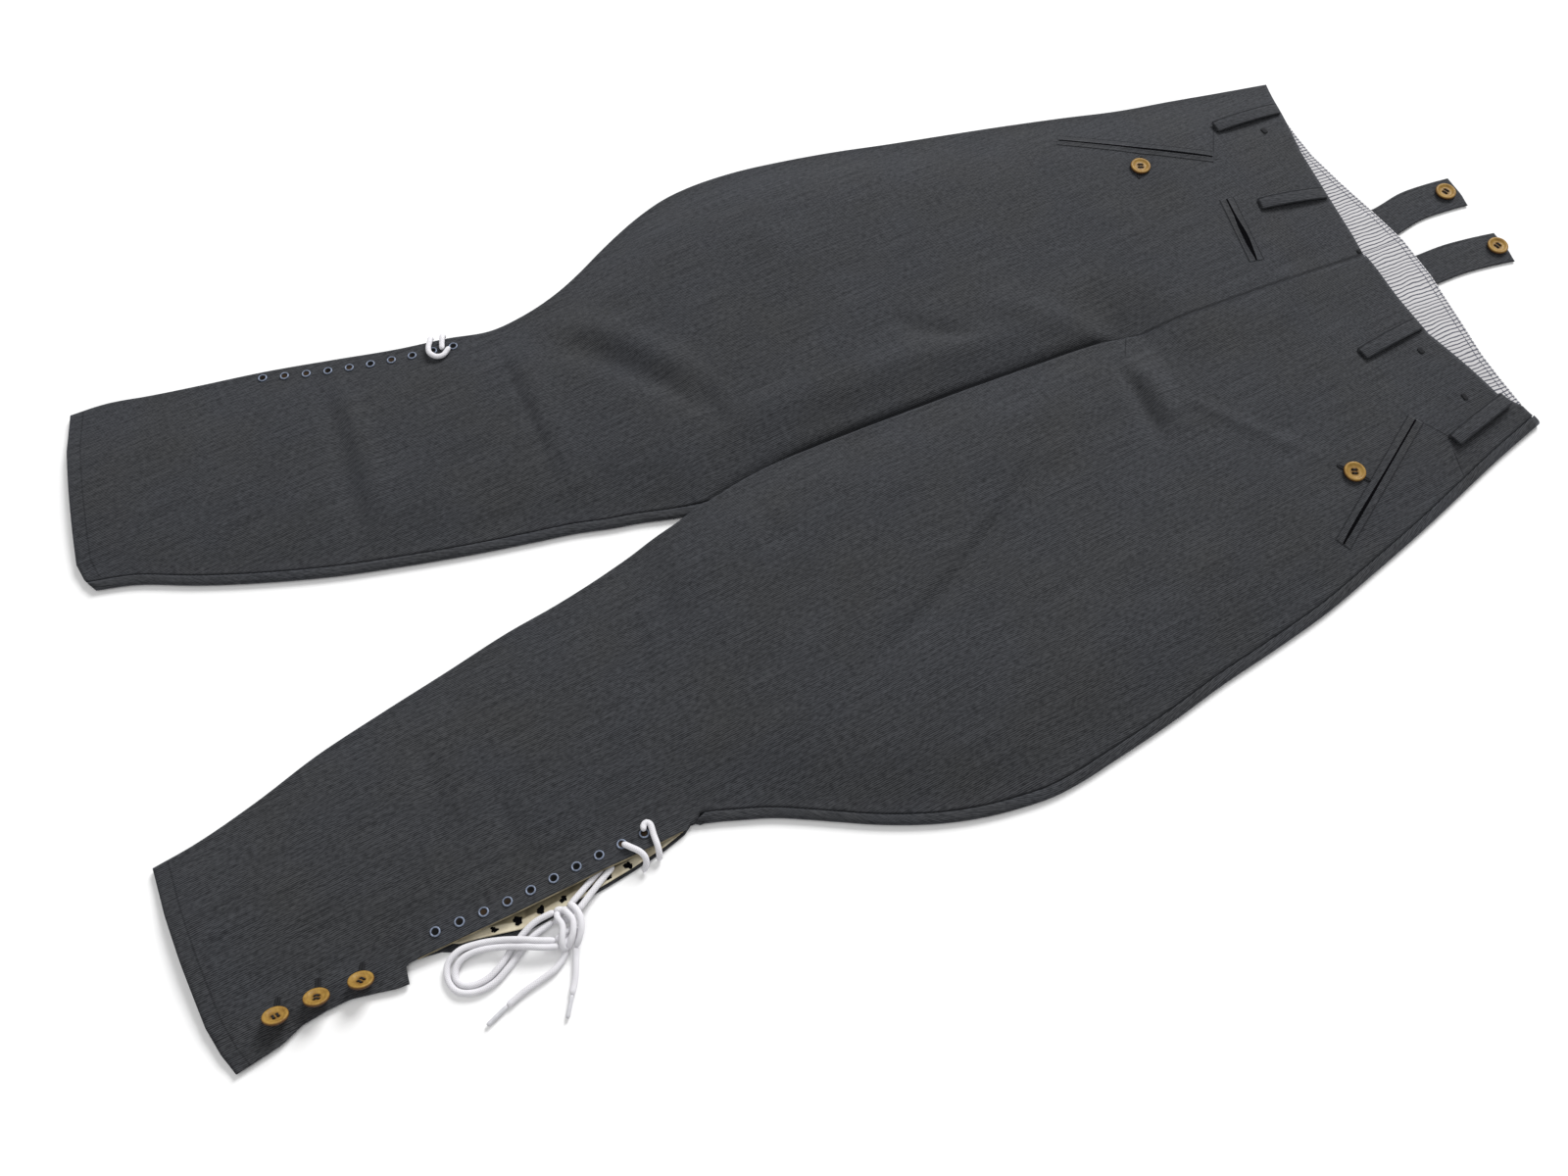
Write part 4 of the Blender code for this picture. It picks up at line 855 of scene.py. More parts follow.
rows = []
for y in BACK_LEVELS:
    crotch = float(smooth(*CROTCH_WRAP, y))
    past_seam = float(smooth(0, 0.25, crotch))
    start = (1 - past_seam) * (float(right_inner(y)) - EDGE_RADIUS)
    start += past_seam * (float(left_inner(y)) + EDGE_RADIUS + SEAM_ROLL) + 2 * GAP
    side = float(smooth(SLIT_TOP[1], SLIT_TOP[0], y))
    edge = float(column(OUTLINE, LEFT_OUTER, y))
    if side == 0:
        edge = float(straight(SLIT, BACK_EDGE, y)) + EDGE_RADIUS
    inward, height = wrap((1 - side) * WRAP + ROUND)
    end_x, end_z = edge - inward, EDGE_HEIGHT - height
    near = start + LAP_GRID
    flat_x = near[-1] + (end_x[-1] - near[-1]) * np.linspace(0, 0.985, 40)[1:]
    low_x = np.concatenate([near, flat_x])
    x = np.concatenate([low_x, end_x[::-1]])
    z = np.concatenate([back_bottom(low_x, y), end_z[::-1]])
    rows.append(np.stack([x, bend_ends(x, y, BACK_WAIST), z + tab_lift(x, y)], axis=-1))
left_back = cloth_grid("left_back_cloth", np.array(rows), CLOTH, plain_twill, inward=1.0,
                       along=BACK_LEVELS)
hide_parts("left_back")

# Waist lining
# A strip of white cotton with thin navy stripes, sewn inside the back waist with two rows of navy
# stitches. It rucks a little, so its stripes waver and bend towards the front edge.
LINING = 0.8
LINING_SPAN, LINING_DEPTH, LINING_INSET = (-176, 172), 92, 0.6
STRIPE = 3.4
LINING_SEAM = -1.0

across = np.linspace(*LINING_SPAN, 175)
depth = np.concatenate([np.linspace(0, 40, 27), np.linspace(46, LINING_DEPTH, 8)])[::-1]
x, down = np.meshgrid(across, depth)
y = np.interp(x, *BACK_WAIST.T) - LINING_INSET - down
ruck = (0.30 * np.sin(x / 11.0 + down / 19.0) * np.cos(x / 27.0 - 1.1)
        + 0.22 * np.sin(x / 5.3 + 1.7 * np.sin(down / 13.0)) * np.exp(-down / 26.0))
seam_dip = -0.35 * np.exp(-((x - LINING_SEAM) / 1.6) ** 2)
z = CLOTH + 3 * GAP + LINING + tab_lift(x, y) + (ruck + 0.3 + seam_dip) * smooth(0, 5, down)
striped, tree, shader = finish_of("striped cotton lining", 0.85, sheen=0.1)
where = add(tree, "TexCoord")
waver = noise(tree, where.outputs["UV"], 42.0)
parts = add(tree, "SeparateXYZ", [where.outputs["UV"]])
sway = maths(tree, "MULTIPLY_ADD", waver, 0.006, parts.outputs[0])
pitch = maths(tree, "DIVIDE", sway, STRIPE * MM)
turn_of = maths(tree, "PINGPONG", pitch, 0.5)
line = span(tree, turn_of, 0.13, 0.19, 1.0, 0.0)
fray = noise(tree, where.outputs["UV"], 900.0, 1.0)
thin = span(tree, fray, 0.3, 0.6, 0.8, 1.0)
ink = maths(tree, "MULTIPLY", line, thin)
dash = maths(tree, "DIVIDE", parts.outputs[0], 0.0026)
dashed = maths(tree, "FRACT", dash)
on_dash = maths(tree, "LESS_THAN", dashed, 0.72)
stitches = ink
for level in (LINING_DEPTH - 1.5, LINING_DEPTH - 5.5):
    row = maths(tree, "COMPARE", parts.outputs[1], level * MM, 0.00042)
    sewn = maths(tree, "MULTIPLY", row, on_dash)
    stitches = maths(tree, "MAXIMUM", stitches, sewn)
middle = maths(tree, "COMPARE", parts.outputs[0], LINING_SEAM * MM, 0.0005)
faint = maths(tree, "MULTIPLY", middle, 0.4)
stitches = maths(tree, "MAXIMUM", stitches, faint)
tone = blend(tree, stitches, (0.55, 0.54, 0.55), (0.04, 0.045, 0.07))
weave = noise(tree, where.outputs["UV"], 1500.0, 1.0)
surface(tree, shader, tone, weave, 0.25, 0.0002)
lining = cloth_grid("waist_lining_cloth", np.stack([x, y, z], axis=-1), LINING, striped,
                    along=LINING_DEPTH - depth)
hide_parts("waist_lining")

# Slit facing
# A strip of cream cotton sewn inside the back's edge of the calf slit, with the rear row of
# eyelets through it. Its inner band, under the front's edge, is a dark olive copy of the cream:
# painted shadow of that edge. The same cloth shows as a thin line along the front's edge of the
# slit, in the dark olive.
FACING_SPAN, FACING_WIDTH, FACING_INSET, FACING_WIDER = (-112, 58), 21, 1.6, 4.0
BORDER = 6.2
REAR_EYELETS = ((236.5, 18), (238.5, 3), (239.5, -13), (240.5, -29), (241.5, -45),
                (242.0, -61), (241.5, -77))
BINDING = 0.55

y = np.linspace(*FACING_SPAN, 120)
outer = straight(SLIT, BACK_EDGE, y) - FACING_INSET - FACING_WIDER * smooth(-45, -95, y)
share = np.linspace(0, 1, 22)
x = outer[:, None] - FACING_WIDTH * (1 - share)[None]
y = np.broadcast_to(y[:, None], x.shape)
z = CLOTH + GAP + LINING + 0.28 * (np.sin(y / 6.1 + 3.0 * share[None]) + 1) * share * (1 - share)
z = z + 0.5 * np.exp(-((outer[:, None] - x - 0.8) / 0.9) ** 2)
cream, tree, shader = finish_of("cream cotton facing", 0.85, sheen=0.1)
where = add(tree, "TexCoord")
stain = noise(tree, where.outputs["Object"], 95.0, 4.0)
weave = noise(tree, where.outputs["Object"], 1600.0, 1.0)
shade = span(tree, stain, 0.35, 0.68, 0.0, 1.0)
border = blend(tree, shade, (0.66, 0.6, 0.45), (0.46, 0.4, 0.28))
# Painted shadow: the inner band, under the front's edge, is a dark olive copy of the cream
# border.
middle = blend(tree, shade, (0.27, 0.23, 0.14), (0.1, 0.082, 0.047))
parts = add(tree, "SeparateXYZ", [where.outputs["UV"]])
torn = maths(tree, "MULTIPLY_ADD", stain, 0.003, parts.outputs[0])
side = span(tree, torn, (FACING_WIDTH - BORDER + 1) * MM, (FACING_WIDTH - BORDER + 2) * MM, 0.0,
            1.0)
tone = blend(tree, side, middle, border)
surface(tree, shader, tone, weave, 0.35, 0.0003)
grid = np.stack([x, y, z], axis=-1)
flat = pairs(share[None] * FACING_WIDTH, y) * MM
facing = mesh_piece("slit_facing_cloth", [(grid, False, flat)], cream)
thicken(facing, LINING)
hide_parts("slit_facing")

y = np.linspace(-128, 60, 160)
x = straight(SLIT, FRONT_EDGE, y) + 0.15
front_line = np.stack([x, y, left_front_top(x - 0.5, y) - 0.75], axis=-1)
# The binding's small U gives it the facing's dark olive band, the colour of the painted shadow.
binding = mesh_piece("slit_binding", [tube(front_line, (BINDING, 0.6))], cream)

# Belt loops
# Four strips of twill folded to 12.5 mm wide and stitched along both sides. Each is sewn down at
# the waist and turned under at its lower end, and stands off the cloth between for a belt.
LOOP_WIDTH, LOOP_RISE, LOOP_ARCH, LOOP_THICK = 12.5, 2.4, 0.5, 1.6
LOOPS = {
    "right_side": ((-163.0, 773.5), (-165.0, 710.0)),
    "right_front": ((-63.8, 756.0), (-75.1, 698.0)),
    "left_front": ((79.8, 749.0), (87.6, 689.3)),
    "left_side": ((165.1, 773.5), (181.6, 711.5)),
}


def front_height(side):
    """The outer face of the front that carries a piece, right or left. The straight section
    under a place near the waist is found by eight steps towards it."""
    top = left_front_top if side.startswith("left") else right_front_top

    def height_at(x, y):
        level = y
        for _ in range(8):
            level = level + y - bend_ends(x, level, FRONT_WAIST)
        return top(x, level)

    return height_at


def strip(line, width, thickness, lift, hollow=0.35, ends=2.2, corner=None):
    """A closed strip along a line: its section is |u|**4 + |w|**4 = 1 with its face hollowed
    between the two side stitchings, and its ends round down over a short length."""
    angle = np.linspace(0, math.tau, 36, endpoint=False)
    u = np.sign(np.cos(angle)) * np.abs(np.cos(angle)) ** 0.5
    w = np.sign(np.sin(angle)) * np.abs(np.sin(angle)) ** 0.5
    w = w - hollow * (w > 0) * np.exp(-((np.abs(u) - 0.72) / 0.11) ** 2)
    tangent = np.gradient(line, axis=0)
    level = np.cross(tangent, (0.0, 0.0, 1.0))
    level /= np.linalg.norm(level, axis=1)[:, None]
    walked = walk(line)
    near_end = np.clip(np.minimum(walked, walked[-1] - walked) / ends, 0, 1)
    swell = np.sqrt(np.maximum(1 - (1 - near_end) ** 2, 0.02))
    narrow = 1 - 0.28 * (1 - near_end) ** 2
    points = (line[:, None] + level[:, None] * (width / 2 * u)[None, :, None]
              * narrow[:, None, None])
    points[:, :, 2] += lift[:, None] + thickness / 2 * (w[None] * swell[:, None])
    if corner is not None:
        points = corner(points)
    start = points[:1].mean(axis=1, keepdims=True).repeat(36, 1)
    end = points[-1:].mean(axis=1, keepdims=True).repeat(36, 1)
    points = np.concatenate([start, points, end])
    section = np.stack([width / 2 * u, thickness / 2 * w], axis=-1)
    steps = np.linalg.norm(np.roll(section, -1, axis=0) - section, axis=1)
    flat_u = np.concatenate([[0.0], np.cumsum(steps)])
    walked = np.pad(walked, 1, "edge")
    return points, True, pairs(flat_u[None] * MM, walked[:, None] * MM)


# Painted shade: dark lines along both long edges of each loop's face and round its lower end,
# where the loop stands off the cloth.
loop_twill_shaded_edges = twill_material("slate twill, loops", (), (
    (0, 1.0, 0.6, 0.9), (0, LOOP_WIDTH - 0.6, 0.7, 0.9), (1, 0.7, 0.8, 0.9)))
for side, ((x0, y0), (x1, y1)) in LOOPS.items():
    along = np.linspace(1, 0, 72)
    offset = np.linspace(-0.5, 0.5, 9) * LOOP_WIDTH
    _, ux, uy = heading(x0, y0, x1, y1)
    middle_x, middle_y = x0 + (x1 - x0) * along, y0 + (y1 - y0) * along
    under = front_height(side)(middle_x[:, None] - uy * offset[None],
                               middle_y[:, None] + ux * offset[None]).max(axis=1)
    arch = LOOP_RISE * np.sin(math.pi * along).clip(0) ** LOOP_ARCH
    line = np.stack([middle_x, middle_y, np.zeros(72)], axis=-1)
    loop = mesh_piece(side + "_loop_cloth",
                      [strip(line, LOOP_WIDTH, LOOP_THICK, under + GAP + LOOP_THICK / 2 + arch)],
                      loop_twill_shaded_edges)
    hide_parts(side + "_belt_loop")

# Brace tabs
# Two straps of doubled twill, stitched close to the edge, one end corner rounded. They are sewn
# under the back waist and button on to the wearer's braces.
TABS = {
    "left": ((-24.0, 758.0), (-25.0, 793.0), (-30.5, 825.0), (-30.0, 848.0), (-28.0, 870.0)),
    "right": ((30.0, 758.0), (31.0, 793.0), (31.0, 825.0), (33.5, 848.0), (37.0, 870.0)),
}
TAB_WIDTH, TAB_END, TAB_END_DROP = 31.5, 6.0, 2.0

for side, line in TABS.items():
    line = np.array(line)
    y = np.linspace(line[0, 1], line[-1, 1], 76)
    middle = column(line[:, ::-1], 1, y)
    share = np.concatenate([np.linspace(-0.5, -0.42, 5), np.linspace(-0.38, 0.38, 17),
                            np.linspace(0.42, 0.5, 5)])
    x = middle[:, None] + TAB_WIDTH * share[None]
    drop = TAB_END_DROP * smooth(-0.1, 0.5, share)[None] ** 2
    level = y[:, None] - drop * smooth(line[-1, 1] - TAB_END, line[-1, 1], y)[:, None]
    edge = np.minimum(0.5 - np.abs(share)[None], (line[-1, 1] - y[:, None]) / TAB_WIDTH)
    edge = edge * TAB_WIDTH
    pressed = 0.55 * np.exp(-(edge / 0.9) ** 2) + 0.4 * np.exp(-((edge - 2.4) / 0.5) ** 2)
    z = TAB_THICKNESS - pressed
    strap = cloth_grid(side + "_tab_cloth", np.stack([x, level, z], axis=-1),
                       TAB_THICKNESS - 0.65, plain_twill)
    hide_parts(side + "_back_tab")

# Pockets
# Two slanting pockets with a button and a watch pocket on the right front. Each mouth is bound by
# two narrow welts of twill, pressed flat, with a row of tacking at both ends. The watch pocket's
# mouth sags open. Each mouth is a near-black sheet, painted shade for the pocket's shaded inside.
WELT_CLOTH, WELT_LIFT, MOUTH_FOLD = 0.3, 0.3, 0.4


def along_pocket(name, along, offset):
    """A place on a pocket: a share of the mouth's length and millimetres to its left."""
    (x0, y0), (x1, y1) = POCKETS[name][:2]
    _, ux, uy = heading(x0, y0, x1, y1)
    x = x0 + (x1 - x0) * along - uy * offset
    y = y0 + (y1 - y0) * along + ux * offset
    return x, y, front_height(name)(x, y)


# Near-black painted shade for a pocket's shaded inside; the rear eyelets take it too.
mouth_dark, tree, shader = finish_of("pocket inside", 0.95, specular=0.0)
where = add(tree, "TexCoord")
dusk = noise(tree, where.outputs["Object"], 700.0)
tone = blend(tree, dusk, (0.0015, 0.0015, 0.002), (0.006, 0.006, 0.007))
tree.links.new(tone, shader.inputs["Base Color"])

for name, (start_of, end_of, gape, gape_at) in POCKETS.items():
    along = np.linspace(0, 1, 90)
    parted = gape * np.exp(-((along - gape_at) / 0.27) ** 2) * smooth(0, 0.08, along)
    parted = parted * smooth(1, 0.92, along)
    for lip, sign in (("upper", 1.0), ("lower", -1.0)):
        share = np.linspace(0, 1, 14)
        slack = (0.75 if sign < 0 else 0.25) * parted
        near = MOUTH / 2 + slack
        far = MOUTH / 2 + LIP
        offset = sign * (near[:, None] + (far - near)[:, None] * share[None])
        x, y, top = along_pocket(name, along[:, None], offset)
        fold = MOUTH_FOLD * np.exp(-((share - 0.1) / 0.26) ** 2)
        end_press = smooth(0, 0.03, along) * smooth(1, 0.97, along)
        z = top + WELT_LIFT + fold[None] * end_press[:, None]
        grid = np.stack([x, y, z], axis=-1)[:, ::int(-sign)]
        welt = cloth_grid(name + "_" + lip + "_welt", grid, WELT_CLOTH, plain_twill)
        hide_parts(name + "_" + lip + "_lip")
    # The mouth: a near-black sheet of painted shade between the welts, wider where the mouth
    # gapes.
    share = np.linspace(-1, 1, 7)
    inside = np.linspace(0.01, 0.99, 60)
    half = MOUTH / 2 + 0.25 + np.interp(inside, along, parted) * 0.42
    shift = -0.25 * np.interp(inside, along, parted)
    aside = -(shift[:, None] + half[:, None] * share[None])
    x, y, top = along_pocket(name, inside[:, None], aside)
    z = top + WELT_LIFT + MOUTH_FOLD + 0.12 - 0.1 * (1 - share[None] ** 2)
    dark = cloth_grid(name + "_mouth", np.stack([x, y, z], axis=-1), 0.2, mouth_dark)

# Tacks and buttonholes
# Four bars of slate thread at the waist, beside the loops and over the fly, and a worked
# buttonhole for each pocket button and hem button.
TACKS = (
    (-145.0, 748.0, 5, 6.0, 4.0), (-0.6, 747.0, 5, 3.0, 3.0), (102.5, 735.6, 5, 5.5, 4.0),
    (151.5, 743.0, 5, 5.5, 3.5),
)
THREAD, BAR_HEIGHT, BAR_CLEAR, HOLE_WIDTH, HOLE_TURNS, HOLE_SLOT = 0.3, 0.42, 0.35, 3.0, 26, 0.55
BUTTONHOLES = ((-151.5, 629.5, -35, 25.0), (176.0, 624.5, 38, 27.0),
               (233.0, -163.0, -24, 11.0), (232.0, -191.5, -20, 12.0), (233.0, -218.5, -27, 11.0))

thread_dark, tree, shader = finish_of("slate sewing thread", 0.75, specular=0.1)
where = add(tree, "TexCoord")
twist = noise(tree, where.outputs["Object"], 1300.0)
tone = blend(tree, twist, (0.008, 0.008, 0.009), (0.034, 0.035, 0.039))
surface(tree, shader, tone, twist, 0.5, 0.0003)


def worked_bar(x0, y0, turned_by, length, width, count, hollow):
    """Thread wound across a bar: z is up over the width with a ripple for each turn, and a
    buttonhole has a slot sunk along its middle."""
    angle = math.radians(turned_by)
    along = np.linspace(-0.5, 0.5, 8 * count + 1)
    share = np.linspace(-1, 1, 15)
    rounded = np.sqrt(np.clip(1 - (2 * np.abs(along)) ** 8, 0.0, 1))
    u = along[:, None] * length + 0 * share[None]
    v = share[None] * width / 2 * rounded[:, None]
    x = x0 + u * math.cos(angle) - v * math.sin(angle)
    y = y0 + u * math.sin(angle) + v * math.cos(angle)
    top = front_height("left" if x0 > 0 else "right")(x, y)
    wound = 0.10 * np.cos(along * count * math.tau)[:, None] * (1 - share[None] ** 2)
    body = BAR_HEIGHT * np.sqrt(np.clip(1 - share[None] ** 4, 0, 1)) * rounded[:, None]
    slot = hollow * np.exp(-(share[None] / 0.3) ** 2) * smooth(0.5, 0.42, np.abs(along))[:, None]
    z = top + BAR_CLEAR + body + wound - slot
    uv = np.stack([u, v], axis=-1) * MM
    return np.stack([x, y, z], axis=-1), False, uv


tacks = mesh_piece("bar_tacks", [worked_bar(x, y, a, w, h, 6, 0.0) for x, y, a, w, h in TACKS],
                   thread_dark)
holes = mesh_piece("buttonholes", [
    worked_bar(x, y, a, w, HOLE_WIDTH, HOLE_TURNS, HOLE_SLOT) for x, y, a, w in BUTTONHOLES
], thread_dark)
for piece in (tacks, holes):
    thicken(piece, THREAD)

# Buttons
# Seven four-hole buttons, 17 mm across, turned from a horn-like ochre material: a raised round
# rim and a shallow dish, with painted shade darkening the edge and a darker centre round the
# holes. They are sewn on with dark thread in two bars, and the hem's three lean on their thread.
BUTTON, HOLE_PIT, BAR = 17.0, 1.7, 0.38
HEM_TILT, HEM_CLEAR, TRIM_CLEAR, SLOPE_STEP = (-15.0, -34.5), 0.2, GAP + 0.3, 4
TAB_BUTTONS = {"left_tab_button": (-30.6, 857.5, 25), "right_tab_button": (35.1, 862.5, 20)}
POCKET_BUTTONS = {"right_pocket_button": (-151.5, 629.5, 68),
                  "left_pocket_button": (176.0, 624.5, 66)}
HEM_BUTTONS = {"hem_button_1": (241.5, -164.6, 40), "hem_button_2": (240.5, -193.4, 75),
               "hem_button_3": (241.5, -220.1, 15)}
HOLE_AT, HOLE_RADIUS = 1.5, 1.0

horn, tree, shader = finish_of("ochre horn", 0.55, specular=0.22)
shader.inputs["Coat Weight"].default_value = 0.04
shader.inputs["Coat Roughness"].default_value = 0.12
where = add(tree, "TexCoord")
parts = add(tree, "SeparateXYZ", [where.outputs["UV"]])
grain = add(tree, "Mapping", {"Vector": where.outputs["Object"], "Scale": (260.0, 900.0, 500.0),
                              "Rotation": (0.0, 0.0, 0.7)})
streak = noise(tree, grain.outputs[0], 1.0, 4.0)
cloud = noise(tree, where.outputs["Object"], 190.0, 3.0)
both = maths(tree, "MULTIPLY_ADD", streak, 0.6, cloud)
shade = span(tree, both, 0.55, 1.05, 0.0, 1.0)
tone = blend(tree, shade, (0.22, 0.115, 0.021), (0.37, 0.225, 0.05))
# Painted shade: the edge darkens to a dark reddish brown; the centre round the holes is darker
# too.
rim = span(tree, parts.outputs[0], 0.00785, 0.0085, 0.0, 0.9)
heart = span(tree, parts.outputs[0], 0.0027, 0.0044, 0.45, 0.0)
rim_shade_and_dark_heart = maths(tree, "MAXIMUM", rim, heart)
horn_with_rim_shade = blend(tree, rim_shade_and_dark_heart, tone, (0.055, 0.016, 0.007))
surface(tree, shader, horn_with_rim_shade, streak, 0.12, 0.0002)


def turned_button(where_is, tilt, spin):
    """A turned button and the thread over its holes. The height of its face is a profile of the
    radius, less a pit at each hole: its depth*exp(-(distance/hole)**6)."""
    r = BUTTON / 2
    radius = np.concatenate([np.linspace(0, 3.4, 20), np.linspace(3.6, r, 24)])
    angle = np.linspace(0, math.tau, 72, endpoint=False)
    profile_r = np.array((0, 3.4, 4.6, 5.6, 6.4, 7.2, 7.9, 8.3, r))
    profile_z = np.array((1.95, 1.9, 1.95, 2.35, 2.85, 3.0, 2.85, 2.45, 1.8))
    rr, aa = np.meshgrid(radius, angle, indexing="ij")
    x, y = rr * np.cos(aa), rr * np.sin(aa)
    z = np.interp(rr, profile_r, profile_z)
    for sx in (-1, 1):
        for sy in (-1, 1):
            away = np.hypot(x - sx * HOLE_AT, y - sy * HOLE_AT)
            z = z - HOLE_PIT * np.exp(-(away / HOLE_RADIUS) ** 6)
    low_r = np.array((r - 0.15, r - 1.0, r - 1.4, 4.0, 0.0))
    low_z = np.array((1.1, 0.25, 0.0, 0.0, 0.0))
    lx, ly = low_r[:, None] * np.cos(angle), low_r[:, None] * np.sin(angle)
    lz = np.broadcast_to(low_z[:, None], lx.shape)
    face = np.stack([np.vstack([x, lx]), np.vstack([y, ly]), np.vstack([z, lz])], axis=-1)
    flat = np.concatenate([radius, np.full(2, r), low_r[2:]])
    uv = pairs(flat[:, None] * MM, np.linspace(0, 1, 73)[None])
    bars = []
    for sy in (-1, 1):
        t = np.linspace(-1, 1, 15)
        for shift in (-0.28, 0.28):
            line = np.stack([t * (HOLE_AT + 0.15), np.full(15, sy * HOLE_AT + shift),
                             1.0 + 1.35 * (1 - t ** 4)], axis=-1)
            bars.append(tube(line, (BAR, BAR)))
    turn_about = (Matrix.Rotation(tilt[0], 3, "X") @ Matrix.Rotation(tilt[1], 3, "Y")
                  @ Matrix.Rotation(math.radians(spin), 3, "Z"))
    carry = np.array(turn_about).T
    shift = np.array(where_is)
    solid = (face @ carry + shift, True, uv)
    return [solid], [(points @ carry + shift, around, flat) for points, around, flat in bars]


def slope_turn(top, x, y):
    """The turn that lays a flat piece on a surface's slope."""
    slope_x = float(top(x + SLOPE_STEP, y) - top(x - SLOPE_STEP, y)) / (2 * SLOPE_STEP)
    slope_y = float(top(x, y + SLOPE_STEP) - top(x, y - SLOPE_STEP)) / (2 * SLOPE_STEP)
    return math.atan(slope_y), -math.atan(slope_x)


sewing = []
for name, (x, y, spin) in {**TAB_BUTTONS, **POCKET_BUTTONS, **HEM_BUTTONS}.items():
    if name in TAB_BUTTONS:
        at, tilt = (x, y, TAB_THICKNESS + GAP), (0.0, 0.0)
    elif name in POCKET_BUTTONS:
        top = front_height(name)
        at, tilt = (x, y, float(top(x, y)) + TRIM_CLEAR), slope_turn(top, x, y)
    else:
        tilt = tuple(math.radians(angle) for angle in HEM_TILT)
        level = math.cos(tilt[0]) * math.cos(tilt[1])
        back = (BUTTON / 2 - 1.2) * math.sqrt(1 - level ** 2)
        at = (x, y, float(left_front_top(x - level * BUTTON / 2, y)) + HEM_CLEAR + back)
    solid, bars = turned_button(at, tilt, spin)
    turned = mesh_piece(name + "_horn", solid, horn)
    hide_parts(name)
    sewing += bars
thread = mesh_piece("button_thread", sewing, thread_dark)

# Eyelets
# Ten pressed metal eyelets with blue-grey enamel along each calf, rolled down through the cloth
# and lighter, partly metallic, in patches on the roll's top. Each hole is a well of near-black
# painted shade. The rear row in the slit's facing is drawn as ragged near-black patches.
EYELET_COUNT, EYELET_SINK, EYELET_REACH, EYELET_AROUND = 10, 0.35, 2.9, 40
EYELET_ROWS = {
    "right": np.array(((-112, -245.5), (-56.6, -229.2), (-7.9, -219.2), (41.7, -212.3))),
    "left": np.array(((-112.1, 228.6), (-63.5, 228.8), (-13.9, 225.2), (35.7, 221.6))),
}
EYELET_SPAN = {"right": (-104.3, 41.7), "left": (-112.1, 35.7)}

enamel, tree, shader = finish_of("blue-grey enamel", 0.38, specular=0.12)
where = add(tree, "TexCoord")
parts = add(tree, "SeparateXYZ", [where.outputs["UV"]])
crest_noise = noise(tree, where.outputs["Object"], 700.0, 3.0)
# The roll's top, 2.3 to 3.7 mm out, is lighter and partly metallic, in patches by noise.
roll = span(tree, parts.outputs[0], 0.0023, 0.0026, 0.0, 1.0)
off = span(tree, parts.outputs[0], 0.0035, 0.0037, 1.0, 0.0)
crest = maths(tree, "MULTIPLY", roll, off)
crest_patches = span(tree, crest_noise, 0.35, 0.6, 0.55, 1.0)
lighter_crest = maths(tree, "MULTIPLY", crest, crest_patches)
tone = blend(tree, lighter_crest, (0.028, 0.031, 0.04), (0.24, 0.28, 0.37))
# Painted shade: each hole is a near-black well, brown in places by noise.
well = span(tree, parts.outputs[0], 0.0019, 0.0023, 1.0, 0.0)
brown = noise(tree, where.outputs["Object"], 45.0)
lit = span(tree, brown, 0.45, 0.6, 0.0, 1.0)
inside = blend(tree, lit, (0.001, 0.001, 0.001), (0.03, 0.018, 0.009))
depths = blend(tree, well, tone, inside)
shine = span(tree, lighter_crest, 0.0, 1.0, 0.0, 0.3)
tree.links.new(depths, shader.inputs["Base Color"])
tree.links.new(shine, shader.inputs["Metallic"])


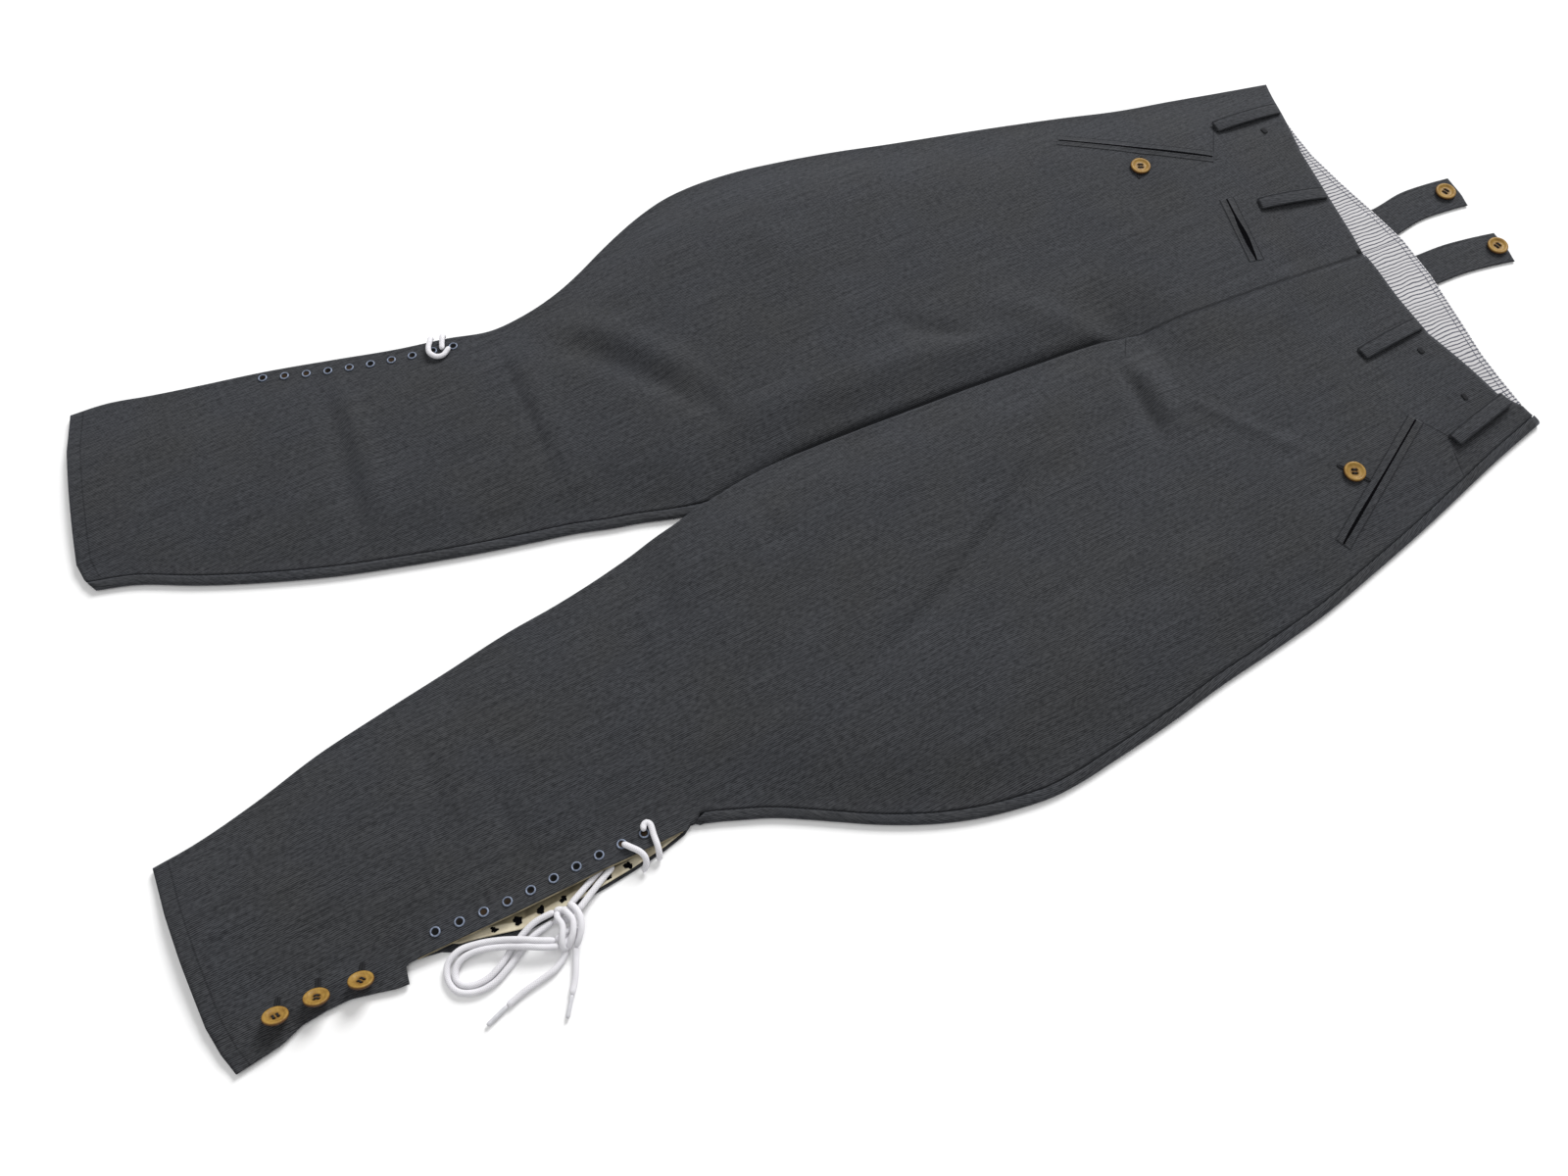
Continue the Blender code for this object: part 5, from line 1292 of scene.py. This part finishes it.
def eyelet_ring(where_is, tilt):
    """A ring turned about its own axis: up the barrel, over the roll and down to the cloth,
    with the well closed at the bottom, coloured near-black as painted shade."""
    radius = np.array((0.0, 1.2, 2.0, 2.25, 2.3, 2.4, 2.65, 2.95, 3.25, 3.5, 3.6, 3.55, 3.3, 0.0))
    height = np.array((0.1, 0.1, 0.12, 0.2, 0.45, 0.75, 0.93, 1.0, 0.9, 0.6, 0.25, 0.0, -0.1,
                       -0.6))
    angle = np.linspace(0, math.tau, EYELET_AROUND, endpoint=False)
    x, y = radius[:, None] * np.cos(angle), radius[:, None] * np.sin(angle)
    z = np.broadcast_to(height[:, None], x.shape)
    turn_about = Matrix.Rotation(tilt[0], 3, "X") @ Matrix.Rotation(tilt[1], 3, "Y")
    points = np.stack([x, y, z], axis=-1) @ np.array(turn_about).T + np.array(where_is)
    return points, True, pairs(radius[:, None] * MM,
                               np.linspace(0, 1, EYELET_AROUND + 1)[None])


for side, row in EYELET_ROWS.items():
    top = front_height(side)
    for number, y in enumerate(np.linspace(*EYELET_SPAN[side], EYELET_COUNT), 1):
        x = float(column(row, 1, y))
        at = (x, float(y), float(top(x, y)) + TRIM_CLEAR - EYELET_SINK)
        name = "%s_eyelet_%02d" % (side, number)
        ring = mesh_piece(name + "_ring", [eyelet_ring(at, slope_turn(top, x, y))], enamel)
        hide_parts(name)


def ragged_dark_eyelet(x, y, phase):
    """A dark eyelet seen from its rough side: a low dome whose radius wanders with the angle."""
    angle = np.linspace(0, math.tau, EYELET_AROUND, endpoint=False)
    ragged = (0.82 + 0.18 * math.sin(2.3 * phase) + 0.14 * np.sin(2 * angle + 3.1 * phase)
              + 0.11 * np.sin(3 * angle + phase) + 0.10 * np.sin(5 * angle + 2 * phase)
              + 0.06 * np.sin(9 * angle + 4 * phase))
    radius = np.array((0.0, 1.1, 1.9, 2.5, EYELET_REACH, 0.0))[:, None] * ragged
    height = np.array((0.25, 0.3, 0.5, 0.45, 0.0, -0.1))[:, None] + 0 * ragged
    points = np.stack([x + radius * np.cos(angle), y + 1.2 * radius * np.sin(angle),
                       CLOTH + GAP + LINING + EYELET_SINK + height], axis=-1)
    return points, True, pairs(np.linspace(0, 3, 6)[:, None] * MM,
                               np.linspace(0, 1, EYELET_AROUND + 1)[None])


# The rear row: ragged patches in the near-black of the pockets' painted shade.
rear = mesh_piece("rear_eyelets", [ragged_dark_eyelet(x, y, 1.7 * number)
                                   for number, (x, y) in enumerate(REAR_EYELETS)], mouth_dark)
